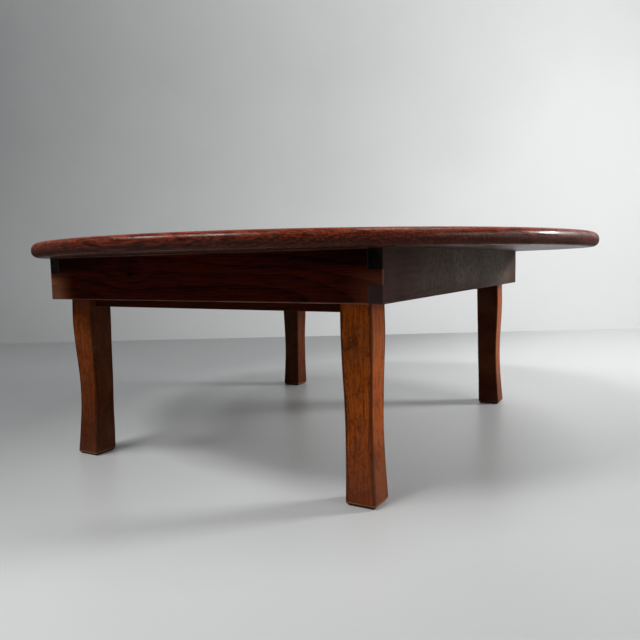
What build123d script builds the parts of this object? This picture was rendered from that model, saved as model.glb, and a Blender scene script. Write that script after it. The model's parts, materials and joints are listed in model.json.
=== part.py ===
from build123d import *
import os
from math import atan2, cos, degrees, hypot, radians, sin

# A round folding low table.  Millimetres, +Z up.  The origin is on the floor under the centre of
# the top.  X runs along the end boards, Y along the side boards, which is the way the legs fold.
# Each leg pair is two legs and a rail.  It turns on dowels in the side boards and folds inward,
# up into the apron.  A wooden stay, screwed under the crossbar, turns out against the rail of
# each pair to hold it open.

# ---------------------------------------------------------------- driving dimensions
table_height = 285.0

top_diameter = 800.0
top_thickness = 18.0
top_board_count = 5
rim_upper_radius = 8.5
rim_flat = 1.5

apron_width = 481.0
apron_height = 55.0
side_thickness = 16.5
end_thickness = 14.5
lower_finger_height = 19.0
tongue_height = 15.0
apron_arris = 1.2

leg_width = 35.5
leg_depth = 34.0
leg_end_gap = 0.9
leg_side_gap = 3.5
leg_top_gap = 10.5
leg_arris = 0.9
leg_lean_x = 3.4
leg_lean_y = 0.9
knee_drop = 25.0
knee_bulge = 0.4
waist_height = 98.0
waist_cut_x = 2.3
waist_cut_y = 3.5
foot_flare_y = 0.9
foot_slope = 0.08
foot_side_clearance = 1.0
foot_chamfer = 2.5
folded_feet_gap = 41.2

rail_thickness = 16.0
rail_setback = 9.5
rail_drop = 10.5
rail_rise = 7.0
tenon_length = 20.0
tenon_height = 22.0
tenon_thickness = 8.0
tenon_shoulder = 6.5

pin_diameter = 10.0
pin_bite = 20.0
pin_clearance = 0.08
bore_end_gap = 1.0
spacer_diameter = 22.0
spacer_clearance = 0.5
peg_diameter = 6.0
peg_length = 25.0

crossbar_width = 36.0
crossbar_housing = 6.0
stay_width = 22.0
stay_thickness = 12.0
stay_slant = 9.0
stay_gap = 0.4
stay_lane_gap = 1.0
stay_recess = 0.5
stay_hole_clearance = 0.25
stay_arris = 1.0
keeper_width = 14.0
keeper_depth = 10.0
keeper_height = 22.0
keeper_gap = 0.5

cleat_depth = 20.0
cleat_clearance = 1.5
cleat_end_gap = 15.0
cleat_arris = 1.5

screw_diameter = 4.0
screw_head_diameter = 8.0
screw_head_height = 2.6
screw_head_clearance = 0.4
screw_bite = 11.0
screw_slot_width = 1.1
cleat_screw_spacing = 140.0
cleat_screw_recess = 3.0
crossbar_screw_places = (55.0, 180.0)
crossbar_screw_recess = 16.0
side_screw_places = (120.0, 205.0)
side_screw_recess = 22.0

stay_screw_diameter = 5.0
stay_screw_head_diameter = 10.0
stay_screw_head_height = 3.4
stay_screw_bite = 26.0
washer_diameter = 14.0
washer_thickness = 1.0

top_dowel_diameter = 6.0
top_dowel_length = 40.0

# ---------------------------------------------------------------- worked out from them
underside = table_height - top_thickness
apron_bottom = underside - apron_height
top_radius = top_diameter / 2
rim_lower_radius = top_thickness - rim_flat - rim_upper_radius

pivot_z = underside - leg_top_gap - leg_depth / 2
pivot_y = pivot_z + folded_feet_gap / 2
leg_outer_y = pivot_y + leg_depth / 2
leg_inner_y = pivot_y - leg_depth / 2
side_inner_x = apron_width / 2 - side_thickness
end_inner_y = leg_outer_y + leg_end_gap
apron_length = 2 * (end_inner_y + end_thickness)
leg_outer_x = side_inner_x - leg_side_gap
leg_inner_x = leg_outer_x - leg_width
foot_outer_x = side_inner_x - foot_side_clearance

rail_bottom = apron_bottom - rail_drop
rail_top = pivot_z + rail_rise
rail_outer_y = leg_outer_y - rail_setback
rail_inner_y = rail_outer_y - rail_thickness
rail_mid_y = (rail_outer_y + rail_inner_y) / 2
tenon_bottom = rail_bottom + tenon_shoulder
tenon_mid_z = tenon_bottom + tenon_height / 2
peg_x = leg_inner_x + tenon_length / 2

stay_bottom = apron_bottom + stay_recess
stay_top = stay_bottom + stay_thickness
crossbar_bottom = stay_top + washer_thickness
stay_radius = stay_width / 2
stay_pivot_y = (stay_width + stay_lane_gap) / 2
stay_reach = rail_inner_y - stay_gap - stay_pivot_y
stay_axis_length = (stay_reach - stay_radius) / cos(radians(stay_slant))
stay_pivot_x = stay_axis_length / 2
stay_tip_x = stay_pivot_x - stay_axis_length * sin(radians(stay_slant))
stay_tip_y = rail_inner_y - stay_gap - stay_radius
stay_pivots = [(j * stay_pivot_x, j * stay_pivot_y) for j in (-1, 1)]

rail_sweep = hypot(max(rail_outer_y - pivot_y, pivot_y - rail_inner_y), rail_rise)
cleat_bottom = pivot_z + rail_sweep + cleat_clearance
cleat_mid_y = end_inner_y - cleat_depth / 2
cleat_length = 2 * (leg_inner_x - cleat_end_gap)

seam_pitch = top_diameter / top_board_count
seams = [seam_pitch * (i + 1) - top_radius for i in range(top_board_count - 1)]
# The dowels stand midway between the columns of the cleats' screws.
top_dowel_places = [k * cleat_screw_spacing / 2 for k in (-3, -1, 1, 3)]

side_mid_x = side_inner_x + side_thickness / 2
CORNERS = [(x, y) for y in (-1, 1) for x in (-1, 1)]

# Where each kind of screw stands, and the height of the seat of its head.
cleat_screw_spots = [(i * cleat_screw_spacing, s * cleat_mid_y) for s in (-1, 1) for i in (-1, 0, 1)]
crossbar_screw_spots = [(s * x, 0) for s in (-1, 1) for x in crossbar_screw_places]
side_screw_spots = [(i * side_mid_x, j * y) for i, j in CORNERS for y in side_screw_places]
cleat_seat = cleat_bottom + cleat_screw_recess
crossbar_seat = crossbar_bottom + crossbar_screw_recess
side_seat = apron_bottom + side_screw_recess
stay_seat = stay_bottom - washer_thickness

UP = (Align.CENTER, Align.CENTER, Align.MIN)


# ---------------------------------------------------------------- helpers
def save(builder, name):
    """Label a finished piece and write it as its own STEP file."""
    builder.part.label = name
    export_step(builder.part, f"parts/{name}.step")


def at_height(spots, z):
    """Give flat (x, y) spots the height z."""
    return [(x, y, z) for x, y in spots]


def wood_screw(shank_diameter, head_diameter, head_height, length):
    """A slotted wood screw that points up, with the seat of its domed head at the origin."""
    shank = shank_diameter / 2
    with BuildPart() as screw:
        with BuildSketch(Plane.XZ):
            with BuildLine():
                TangentArc((0, -head_height), (head_diameter / 2, 0), tangent=(1, 0))
                Polyline(
                    (head_diameter / 2, 0),
                    (shank, 0),
                    (shank, length - shank_diameter),
                    (0, length),
                    (0, -head_height),
                )
            make_face()
        revolve(axis=Axis.Z)
        with Locations((0, 0, -head_height)):
            Box(head_diameter, screw_slot_width, head_height, mode=Mode.SUBTRACT)
    return screw


def screw_group(screw, spots, seat, name):
    """Stand a copy of the screw at every spot and save them as one group."""
    with BuildPart() as group:
        with Locations(*at_height(spots, seat)):
            add(screw.part)
    save(group, name)


def sunk_hole(spots, bottom, seat):
    """Cut the snug shank holes up from the seat, and the heads' counterbores below it."""
    with Locations(*at_height(spots, seat)):
        Cylinder(screw_diameter / 2, underside - seat, align=UP, mode=Mode.SUBTRACT)
    with Locations(*at_height(spots, bottom)):
        Cylinder(
            screw_head_diameter / 2 + screw_head_clearance,
            seat - bottom,
            align=UP,
            mode=Mode.SUBTRACT,
        )


# ---------------------------------------------------------------- round top
def make_top():
    """The disc with its bullnose rim, bored for dowels and screws, sawn into its boards."""
    dowel_spots = [(x, seam) for seam in seams for x in top_dowel_places]
    with BuildPart() as dowels:
        with Locations(*at_height(dowel_spots, underside + top_thickness / 2)):
            Cylinder(top_dowel_diameter / 2, top_dowel_length, rotation=(90, 0, 0))
    save(dowels, "top_dowels")

    with BuildPart() as disc:
        with Locations((0, 0, underside)):
            Cylinder(top_radius, top_thickness, align=UP)
        fillet(disc.edges().sort_by(Axis.Z)[-1], rim_upper_radius)
        fillet(disc.edges().sort_by(Axis.Z)[0], rim_lower_radius)
        with Locations(*at_height(cleat_screw_spots + crossbar_screw_spots + side_screw_spots, underside)):
            Cylinder(screw_diameter / 2, screw_bite, align=UP, mode=Mode.SUBTRACT)
        add(dowels.part, mode=Mode.SUBTRACT)

    for i in range(top_board_count):
        with BuildPart() as board:
            add(disc.part)
            with Locations((0, seam_pitch * (i + 0.5) - top_radius, underside)):
                Box(top_diameter, seam_pitch, top_thickness, align=UP, mode=Mode.INTERSECT)
        save(board, f"top_board_{i + 1}")


# ---------------------------------------------------------------- apron
def apron_blank():
    """The four boards' common outer form, with its worn corners and lower edges."""
    with BuildPart() as blank:
        with Locations((0, 0, apron_bottom)):
            Box(apron_width, apron_length, apron_height, align=UP)
        fillet(blank.edges().filter_by(Axis.Z), apron_arris)
        fillet(blank.faces().sort_by(Axis.Z)[0].edges(), apron_arris)
    return blank


def make_side_board(blank, side, name):
    """A side board: two fingers at each end, the pivot bores and the crossbar's housing."""
    with BuildPart() as zone:
        with Locations((side * side_mid_x, 0, apron_bottom)):
            Box(side_thickness, apron_length, apron_height, align=UP)
        tongue_y = end_inner_y + end_thickness / 2
        tongue_z = apron_bottom + lower_finger_height
        with Locations(*[(side * side_mid_x, j * tongue_y, tongue_z) for j in (-1, 1)]):
            Box(side_thickness, end_thickness, tongue_height, align=UP, mode=Mode.SUBTRACT)
    with BuildPart() as board:
        add(blank.part)
        add(zone.part, mode=Mode.INTERSECT)
        with Locations(*[(side * side_mid_x, j * pivot_y, pivot_z) for j in (-1, 1)]):
            Cylinder(pin_diameter / 2, side_thickness, rotation=(0, 90, 0), mode=Mode.SUBTRACT)
        with Locations((side * side_inner_x, 0, crossbar_bottom)):
            Box(2 * crossbar_housing, crossbar_width, underside - crossbar_bottom, align=UP, mode=Mode.SUBTRACT)
        sunk_hole([spot for spot in side_screw_spots if spot[0] * side > 0], apron_bottom, side_seat)
    save(board, name)


def make_end_board(blank, side, name):
    """An end board, with one tongue at each end between the side boards' fingers."""
    mid_y = side * (end_inner_y + end_thickness / 2)
    with BuildPart() as zone:
        with Locations((0, mid_y, apron_bottom)):
            Box(2 * side_inner_x, end_thickness, apron_height, align=UP)
        with Locations((0, mid_y, apron_bottom + lower_finger_height)):
            Box(apron_width, end_thickness, tongue_height, align=UP)
    with BuildPart() as board:
        add(blank.part)
        add(zone.part, mode=Mode.INTERSECT)
    save(board, name)


def make_cleat(side, name):
    """A cleat in the angle of end board and top, between the legs."""
    with BuildPart() as cleat:
        with Locations((0, side * cleat_mid_y, cleat_bottom)):
            Box(cleat_length, cleat_depth, underside - cleat_bottom, align=UP)
        free_edge = cleat.edges().filter_by(Axis.X).group_by(Axis.Z)[0].sort_by(Axis.Y)
        chamfer(free_edge[0] if side > 0 else free_edge[-1], cleat_arris)
        sunk_hole([spot for spot in cleat_screw_spots if spot[1] * side > 0], cleat_bottom, cleat_seat)
    save(cleat, name)


def make_crossbar():
    """The tie bar across the middle, with the holes of its own screws and of the stays' screws."""
    with BuildPart() as bar:
        with Locations((0, 0, crossbar_bottom)):
            Box(2 * (side_inner_x + crossbar_housing), crossbar_width, underside - crossbar_bottom, align=UP)
        sunk_hole(crossbar_screw_spots, crossbar_bottom, crossbar_seat)
        with Locations(*at_height(stay_pivots, crossbar_bottom)):
            Cylinder(stay_screw_diameter / 2, stay_screw_bite, align=UP, mode=Mode.SUBTRACT)
    save(bar, "crossbar")


# ---------------------------------------------------------------- pivots
def make_pivots():
    """The four pivot dowels, flush with the side boards, and the spacer rings on them."""
    pin_length = side_thickness + leg_side_gap + pin_bite
    pin_mid_x = apron_width / 2 - pin_length / 2
    with BuildPart() as pins:
        with Locations(*[(i * pin_mid_x, j * pivot_y, pivot_z) for i, j in CORNERS]):
            Cylinder(pin_diameter / 2, pin_length, rotation=(0, 90, 0))
    save(pins, "pivot_pins")

    ring = leg_side_gap - spacer_clearance
    ring_mid_x = side_inner_x - ring / 2
    with BuildPart() as spacers:
        with Locations(*[(i * ring_mid_x, j * pivot_y, pivot_z) for i, j in CORNERS]):
            Cylinder(spacer_diameter / 2, ring, rotation=(0, 90, 0))
            Cylinder(pin_diameter / 2, ring, rotation=(0, 90, 0), mode=Mode.SUBTRACT)
    save(spacers, "pivot_spacers")


# ---------------------------------------------------------------- leg pairs
def make_leg(i, j, name):
    """A leg sawn to shape on its two outer faces.  i and j are the signs of its x and y."""
    knee_z = apron_bottom - knee_drop
    with BuildPart() as leg:
        with BuildSketch(Plane.XZ):
            with BuildLine():
                Spline(
                    (i * foot_outer_x, 0),
                    (i * (leg_outer_x - waist_cut_x), waist_height),
                    (i * (leg_outer_x + knee_bulge), knee_z),
                    (i * leg_outer_x, apron_bottom),
                    tangents=[(-i * foot_slope, 1), (0, 1)],
                )
                Polyline(
                    (i * leg_outer_x, apron_bottom),
                    (i * leg_outer_x, underside),
                    (i * leg_inner_x, underside),
                    (i * leg_inner_x, rail_bottom),
                    (i * (leg_inner_x + leg_lean_x), 0),
                    (i * foot_outer_x, 0),
                )
            make_face()
        extrude(amount=apron_length, both=True)
        with BuildSketch(Plane.YZ):
            with BuildLine():
                Spline(
                    (j * (leg_outer_y + foot_flare_y), 0),
                    (j * (leg_outer_y - waist_cut_y), waist_height),
                    (j * (leg_outer_y + knee_bulge), knee_z),
                    (j * leg_outer_y, apron_bottom),
                    tangents=[(-j * foot_slope, 1), (0, 1)],
                )
                Line((j * leg_outer_y, apron_bottom), (j * leg_outer_y, pivot_z))
                ThreePointArc(
                    (j * leg_outer_y, pivot_z),
                    (j * pivot_y, pivot_z + leg_depth / 2),
                    (j * leg_inner_y, pivot_z),
                )
                Polyline(
                    (j * leg_inner_y, pivot_z),
                    (j * leg_inner_y, rail_bottom),
                    (j * (leg_inner_y + leg_lean_y), 0),
                    (j * (leg_outer_y + foot_flare_y), 0),
                )
            make_face()
        extrude(amount=apron_width, both=True, mode=Mode.INTERSECT)
        chamfer(leg.faces().sort_by(Axis.Z)[0].edges(), foot_chamfer)
        long_edges = leg.edges().filter_by(lambda edge: edge.bounding_box().size.Z > waist_height)
        outer_corner = long_edges.sort_by(lambda edge: i * edge.center().X + j * edge.center().Y)[-1]
        fillet(outer_corner, leg_arris)
        with Locations((i * (leg_inner_x + tenon_length / 2), j * rail_mid_y, tenon_bottom)):
            Box(tenon_length, tenon_thickness, tenon_height, align=UP, mode=Mode.SUBTRACT)
        with Locations((i * peg_x, j * (leg_inner_y + peg_length / 2), tenon_mid_z)):
            Cylinder(peg_diameter / 2, peg_length, rotation=(90, 0, 0), mode=Mode.SUBTRACT)
        bore = pin_bite + bore_end_gap
        with Locations((i * (leg_outer_x - bore / 2), j * pivot_y, pivot_z)):
            Cylinder(pin_diameter / 2 + pin_clearance, bore, rotation=(0, 90, 0), mode=Mode.SUBTRACT)
    save(leg, name)


def make_rail(j, name):
    """The rail of a leg pair, with a tenon at each end that is bored for its peg."""
    with BuildPart() as rail:
        with Locations((0, j * rail_mid_y, rail_bottom)):
            Box(2 * leg_inner_x, rail_thickness, rail_top - rail_bottom, align=UP)
        long_edges = rail.edges().filter_by(Axis.X)
        fillet(long_edges, leg_arris)
        with Locations((0, j * rail_mid_y, tenon_bottom)):
            Box(2 * (leg_inner_x + tenon_length), tenon_thickness, tenon_height, align=UP)
        with Locations(*[(i * peg_x, j * rail_mid_y, tenon_mid_z) for i in (-1, 1)]):
            Cylinder(peg_diameter / 2, tenon_thickness, rotation=(90, 0, 0), mode=Mode.SUBTRACT)
    save(rail, name)


def make_pegs(j, name):
    """The pegs that pin the rail's tenons, driven from the legs' inner faces."""
    with BuildPart() as pegs:
        with Locations(*[(i * peg_x, j * (leg_inner_y + peg_length / 2), tenon_mid_z) for i in (-1, 1)]):
            Cylinder(peg_diameter / 2, peg_length, rotation=(90, 0, 0))
    save(pegs, name)


def make_keeper(j, name):
    """The block on the rail's inner face that the stay comes up against."""
    keeper_x = j * (stay_tip_x + stay_radius + keeper_gap + keeper_width / 2)
    with BuildPart() as keeper:
        with Locations((keeper_x, j * (rail_inner_y - keeper_depth / 2), (stay_bottom + stay_top) / 2)):
            Box(keeper_width, keeper_depth, keeper_height)
        free_face = keeper.faces().sort_by(Axis.Y)[0 if j > 0 else -1]
        chamfer(free_face.edges(), cleat_arris)
    save(keeper, name)


# ---------------------------------------------------------------- stays
def make_stay(j, name):
    """A stay in its holding place: round-ended, a little slanted, its tip at the rail."""
    mid_x = j * (stay_pivot_x + stay_tip_x) / 2
    mid_y = j * (stay_pivot_y + stay_tip_y) / 2
    angle = degrees(atan2(stay_tip_y - stay_pivot_y, stay_tip_x - stay_pivot_x))
    with BuildPart() as stay:
        with BuildSketch(Plane.XY.offset(stay_bottom)):
            with Locations((mid_x, mid_y)):
                SlotCenterToCenter(stay_axis_length, stay_width, rotation=angle)
        extrude(amount=stay_thickness)
        outline = stay.faces().filter_by(Axis.Z).edges()
        fillet(outline, stay_arris)
        with Locations((j * stay_pivot_x, j * stay_pivot_y, stay_bottom)):
            Cylinder(
                stay_screw_diameter / 2 + stay_hole_clearance,
                stay_thickness,
                align=UP,
                mode=Mode.SUBTRACT,
            )
    save(stay, name)


def make_stay_hardware():
    """The stays' pivot screws, with a washer under the head and one under the crossbar."""
    length = 2 * washer_thickness + stay_thickness + stay_screw_bite
    screw = wood_screw(stay_screw_diameter, stay_screw_head_diameter, stay_screw_head_height, length)
    screw_group(screw, stay_pivots, stay_seat, "stay_screws")
    with BuildPart() as washers:
        with Locations(*at_height(stay_pivots, stay_seat), *at_height(stay_pivots, stay_top)):
            Cylinder(washer_diameter / 2, washer_thickness, align=UP)
            Cylinder(stay_screw_diameter / 2, washer_thickness, align=UP, mode=Mode.SUBTRACT)
    save(washers, "stay_washers")


# ---------------------------------------------------------------- every piece
os.makedirs("parts", exist_ok=True)

make_top()

blank = apron_blank()
make_side_board(blank, -1, "apron_side_left")
make_side_board(blank, 1, "apron_side_right")
make_end_board(blank, -1, "apron_end_front")
make_end_board(blank, 1, "apron_end_back")
make_crossbar()
make_pivots()

for j, end in ((-1, "front"), (1, "back")):
    make_cleat(j, f"end_cleat_{end}")
    for i, hand in ((-1, "left"), (1, "right")):
        make_leg(i, j, f"leg_{end}_{hand}")
    make_rail(j, f"rail_{end}")
    make_pegs(j, f"rail_pegs_{end}")
    make_keeper(j, f"stay_keeper_{end}")
    make_stay(j, f"stay_{end}")
make_stay_hardware()

for spots, seat, name in (
    (cleat_screw_spots, cleat_seat, "cleat_screws"),
    (crossbar_screw_spots, crossbar_seat, "crossbar_screws"),
    (side_screw_spots, side_seat, "side_screws"),
):
    screw = wood_screw(screw_diameter, screw_head_diameter, screw_head_height, underside - seat + screw_bite)
    screw_group(screw, spots, seat, name)
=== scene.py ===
"""Looks of a round folding low table: its lacquered woods, its worn edges and its screws.

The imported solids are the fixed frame.  Boards are eased copies of their solids, the round top and
the sawn legs are finer meshes of the same shapes, and the screws are laid out by geometry nodes.
Lengths are in metres, and every finish is a plain dataclass that writes its own node tree.
"""

import json
import logging
from collections.abc import Iterable, Sequence
from dataclasses import dataclass, field, replace
from enum import Enum
from functools import reduce
from math import asin, cos, pi, radians, sin, tau
from random import Random

import bmesh
import bpy
from mathutils import Matrix, Vector, noise
from mathutils.bvhtree import BVHTree


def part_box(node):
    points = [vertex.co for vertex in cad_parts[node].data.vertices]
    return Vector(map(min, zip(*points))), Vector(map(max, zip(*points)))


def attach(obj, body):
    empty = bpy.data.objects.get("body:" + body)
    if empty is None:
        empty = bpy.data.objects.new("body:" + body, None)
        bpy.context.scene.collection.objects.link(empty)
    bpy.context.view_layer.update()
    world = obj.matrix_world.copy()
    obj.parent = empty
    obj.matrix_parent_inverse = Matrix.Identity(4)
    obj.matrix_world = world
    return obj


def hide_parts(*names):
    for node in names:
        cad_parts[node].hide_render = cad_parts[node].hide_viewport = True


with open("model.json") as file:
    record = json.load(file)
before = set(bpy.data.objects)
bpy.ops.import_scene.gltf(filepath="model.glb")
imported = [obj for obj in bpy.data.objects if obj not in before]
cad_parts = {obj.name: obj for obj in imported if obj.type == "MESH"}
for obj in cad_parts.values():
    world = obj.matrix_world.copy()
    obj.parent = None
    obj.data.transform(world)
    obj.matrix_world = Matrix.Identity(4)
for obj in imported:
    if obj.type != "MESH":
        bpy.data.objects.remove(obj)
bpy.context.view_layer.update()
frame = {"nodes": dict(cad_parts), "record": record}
LOG = logging.getLogger("low_table")

Triple = tuple[float, float, float]
Colour = Triple
Socket = bpy.types.NodeSocket
MM = 0.001
WELD = 0.001 * MM
ORIGIN = (0.0, 0.0, 0.0)
NO_KNOT = (9.0, 0.0, 0.0)


class Grain(Enum):
    """The way a piece's fibres run, with the turn that lays that way along X."""

    X = (0.0, 0.0, 0.0)
    Y = (0.0, 0.0, -pi / 2)
    Z = (0.0, pi / 2, 0.0)


class Side(Enum):
    """A side of the table, with the sign of the axis that it lies on."""

    @property
    def word(self) -> str:
        """The side's word in the names of nodes and bodies."""
        return self.name.lower()


class End(Side):
    """The two ends of the table, along y."""

    FRONT = -1
    BACK = 1


class Hand(Side):
    """The two hands of the table, along x."""

    LEFT = -1
    RIGHT = 1


def rgba(colour: Colour) -> tuple[float, float, float, float]:
    """A linear colour with full alpha."""
    return (*colour, 1.0)


# ---------------------------------------------------------------- node trees
@dataclass(frozen=True)
class Spots:
    """A kind of noise: spots per metre on each axis, octaves, their strength, and how far it is bent."""

    x: float
    y: float
    z: float
    detail: float = 2.0
    roughness: float = 0.5
    twist: float = 0.0


class NodeSheet:
    """Writes one node tree, a node at a time, and joins sockets as it goes."""

    def __init__(self, tree: bpy.types.NodeTree) -> None:
        """Starts on a tree.

        Args:
            tree: The shader or geometry tree to write.
        """
        self.tree = tree

    def add(self, kind: str, feeds: dict | None = None, **settings: object) -> bpy.types.Node:
        """Adds a node.

        Args:
            kind: The node's type.
            feeds: What goes into each input, by its name or number: an output or a plain value.
            settings: The node's own properties.

        Returns:
            The new node.
        """
        node = self.tree.nodes.new(kind)
        for name, value in settings.items():
            setattr(node, name, value)
        for key, value in (feeds or {}).items():
            if isinstance(value, bpy.types.NodeSocket):
                self.tree.links.new(value, node.inputs[key])
            else:
                node.inputs[key].default_value = value
        return node

    def math(self, operation: str, *values: object, clamp: bool = False) -> Socket:
        """A Math node's result.

        Args:
            operation: The Math node's operation.
            values: Its operands.
            clamp: Whether the result is kept between 0 and 1.

        Returns:
            The result.
        """
        feeds = dict(enumerate(values))
        return self.add("ShaderNodeMath", feeds, operation=operation, use_clamp=clamp).outputs[0]

    def times(self, *values: object) -> Socket:
        """The product of numbers."""
        return reduce(lambda a, b: self.math("MULTIPLY", a, b), values)

    def plus(self, *values: object) -> Socket:
        """The sum of numbers."""
        return reduce(lambda a, b: self.math("ADD", a, b), values)

    def most(self, *values: object) -> Socket:
        """The largest of some numbers."""
        return reduce(lambda a, b: self.math("MAXIMUM", a, b), values)

    def lift(self, value: object, factor: object, base: object, clamp: bool = False) -> Socket:
        """A number times a factor, plus a base."""
        return self.math("MULTIPLY_ADD", value, factor, base, clamp=clamp)

    def vector(self, operation: str, *values: object) -> Socket:
        """A Vector Math node's vector result."""
        return self.add("ShaderNodeVectorMath", dict(enumerate(values)), operation=operation).outputs[0]

    def dot(self, vector: Socket, way: Triple) -> Socket:
        """How far a vector reaches along a way."""
        node = self.add("ShaderNodeVectorMath", {0: vector, 1: way}, operation="DOT_PRODUCT")
        return node.outputs["Value"]

    def scaled(self, vector: Socket, factor: object) -> Socket:
        """A vector made longer by a factor."""
        return self.add("ShaderNodeVectorMath", {0: vector, 3: factor}, operation="SCALE").outputs[0]

    def split(self, vector: Socket) -> tuple[Socket, Socket, Socket]:
        """The x, y and z of a vector."""
        parts = self.add("ShaderNodeSeparateXYZ", {0: vector}).outputs
        return parts[0], parts[1], parts[2]

    def join(self, x: object, y: object, z: object) -> Socket:
        """A vector of three numbers."""
        return self.add("ShaderNodeCombineXYZ", {0: x, 1: y, 2: z}).outputs[0]

    def noise(self, vector: Socket, spots: Spots) -> Socket:
        """Noise around 0.5, read at a vector."""
        return self.add("ShaderNodeTexNoise", {
            "Vector": self.vector("MULTIPLY", vector, (spots.x, spots.y, spots.z)), "Scale": 1.0,
            "Detail": spots.detail, "Roughness": spots.roughness, "Distortion": spots.twist,
        }).outputs[0]

    def ramp(self, value: Socket, low: object, high: object, start: object = 0.0,
             end: object = 1.0) -> Socket:
        """A smooth step from one value to another.

        Args:
            value: What is measured.
            low: Where the step begins.
            high: Where it ends.
            start: The result at its beginning.
            end: The result at its end.

        Returns:
            The stepped value.
        """
        feeds = {0: value, 1: low, 2: high, 3: start, 4: end}
        return self.add("ShaderNodeMapRange", feeds, interpolation_type="SMOOTHSTEP").outputs[0]

    def blend(self, factor: object, first: object, second: object) -> Socket:
        """A mix of two colours, with the share of the second one first."""
        return self.add("ShaderNodeMix", {0: factor, 6: first, 7: second}, data_type="RGBA").outputs[2]

    def bump(self, height: Socket, depth: float) -> Socket:
        """A normal for a relief of some depth."""
        return self.add("ShaderNodeBump", {"Strength": 1.0, "Distance": depth, "Height": height}).outputs[0]

    def principled(self, feeds: dict[str, object]) -> Socket:
        """A Principled shader with some of its inputs filled."""
        return self.add("ShaderNodeBsdfPrincipled", feeds).outputs[0]

    def show(self, surface: Socket) -> None:
        """Makes a shader the material's surface."""
        self.add("ShaderNodeOutputMaterial", {"Surface": surface})


def socket_kind(value: object) -> str:
    """The socket type that holds a value, which is None for an object."""
    if value is None:
        return "NodeSocketObject"
    if isinstance(value, (float, int)):
        return {float: "NodeSocketFloat", int: "NodeSocketInt"}[type(value)]
    return "NodeSocketVector"


def add_inputs(tree: bpy.types.NodeTree, inputs: dict[str, object]) -> None:
    """Gives a group's tree its named inputs with their defaults."""
    for label, value in inputs.items():
        made = tree.interface.new_socket(label, in_out="INPUT", socket_type=socket_kind(value))
        if value is not None:
            made.default_value = value


@dataclass
class ShaderGroup:
    """A shared shader effect, with named inputs and named numbers as its outputs."""

    name: str
    inputs: dict[str, object]
    outputs: Sequence[str]
    sheet: NodeSheet = field(init=False)
    into: dict[str, Socket] = field(init=False)

    def __post_init__(self) -> None:
        """Makes the empty tree and its sockets."""
        tree = bpy.data.node_groups.new(self.name, "ShaderNodeTree")
        add_inputs(tree, self.inputs)
        for label in self.outputs:
            tree.interface.new_socket(label, in_out="OUTPUT", socket_type="NodeSocketFloat")
        self.sheet = NodeSheet(tree)
        self.into = {socket.name: socket for socket in self.sheet.add("NodeGroupInput").outputs}

    def close(self, **results: Socket) -> "ShaderGroup":
        """Joins the results to the group's outputs of the same names."""
        self.sheet.add("NodeGroupOutput", results)
        return self

    def place(self, sheet: NodeSheet, feeds: dict[str, object]) -> dict[str, Socket]:
        """Puts the effect into a material.

        Args:
            sheet: The material's sheet.
            feeds: What goes into each named input.

        Returns:
            The effect's outputs by name.
        """
        node = sheet.add("ShaderNodeGroup", feeds, node_tree=self.sheet.tree)
        return {socket.name: socket for socket in node.outputs}


BENDS = Spots(3.0, 9.0, 9.0, 1.5)
RIPPLES = Spots(11.0, 70.0, 70.0)
FIBRES = Spots(26.0, 620.0, 620.0, 3.0, 0.6)
PORES = Spots(90.0, 1500.0, 1500.0, 1.0)
KNOT_REACH = 24 * MM
KNOT_SWELL = 15 * MM
KNOT_HEART = (0.5 * MM, 3.5 * MM)
RIPPLE_SHARE = 0.09
LATE_RISE = 2.4
LATE_END = 0.88


def wood_figure() -> ShaderGroup:
    """Growth rings, fibres and pores of a board whose fibres run along x.

    Returns:
        The effect, with outputs Late, Fibre, Pore and Core, the heart of a knot, from 0 to 1.
    """
    group = ShaderGroup(
        "wood_figure",
        {"Vector": ORIGIN, "Pith": ORIGIN, "Knot": NO_KNOT, "Ring Pitch": 5 * MM, "Taper": 0.03,
         "Waviness": 12 * MM},
        ("Late", "Fibre", "Pore", "Core"),
    )
    sheet, into = group.sheet, group.into
    shifted = sheet.vector("ADD", into["Vector"], into["Pith"])
    aside = sheet.vector("MULTIPLY", sheet.vector("SUBTRACT", into["Vector"], into["Knot"]), (0.5, 0.0, 1.0))
    far = sheet.add("ShaderNodeVectorMath", {0: aside}, operation="LENGTH").outputs["Value"]
    swirl = sheet.ramp(far, 0.0, KNOT_REACH, 1.0, 0.0)
    core = sheet.ramp(far, *KNOT_HEART, 0.5, 0.0)
    bend = sheet.math("SUBTRACT", sheet.noise(shifted, BENDS), 0.5)
    ripple = sheet.math("SUBTRACT", sheet.noise(shifted, RIPPLES), 0.5)
    along, across, deep = sheet.split(shifted)
    square = sheet.plus(sheet.math("POWER", across, 2.0), sheet.math("POWER", deep, 2.0))
    reach = sheet.lift(along, into["Taper"], sheet.math("SQRT", square))
    reach = sheet.lift(bend, into["Waviness"], reach)
    reach = sheet.lift(swirl, KNOT_SWELL, reach)
    reach = sheet.lift(ripple, sheet.times(into["Waviness"], RIPPLE_SHARE), reach)
    rings = sheet.math("DIVIDE", reach, into["Ring Pitch"])
    within = sheet.math("FRACT", rings)
    swell = sheet.times(sheet.math("POWER", within, LATE_RISE), sheet.ramp(within, LATE_END, 1.0, 1.0, 0.0))
    ring = sheet.math("FLOOR", rings)
    lot = sheet.add("ShaderNodeTexWhiteNoise", {"W": ring}, noise_dimensions="1D").outputs[0]
    late = sheet.math("MULTIPLY", swell, sheet.lift(lot, 0.6, 0.4), clamp=True)
    pore = sheet.ramp(sheet.noise(shifted, PORES), 0.60, 0.70)
    pore = sheet.times(pore, sheet.ramp(within, 0.0, 0.5, 1.0, 0.35))
    return group.close(Late=late, Fibre=sheet.noise(shifted, FIBRES), Pore=pore, Core=core)


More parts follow.
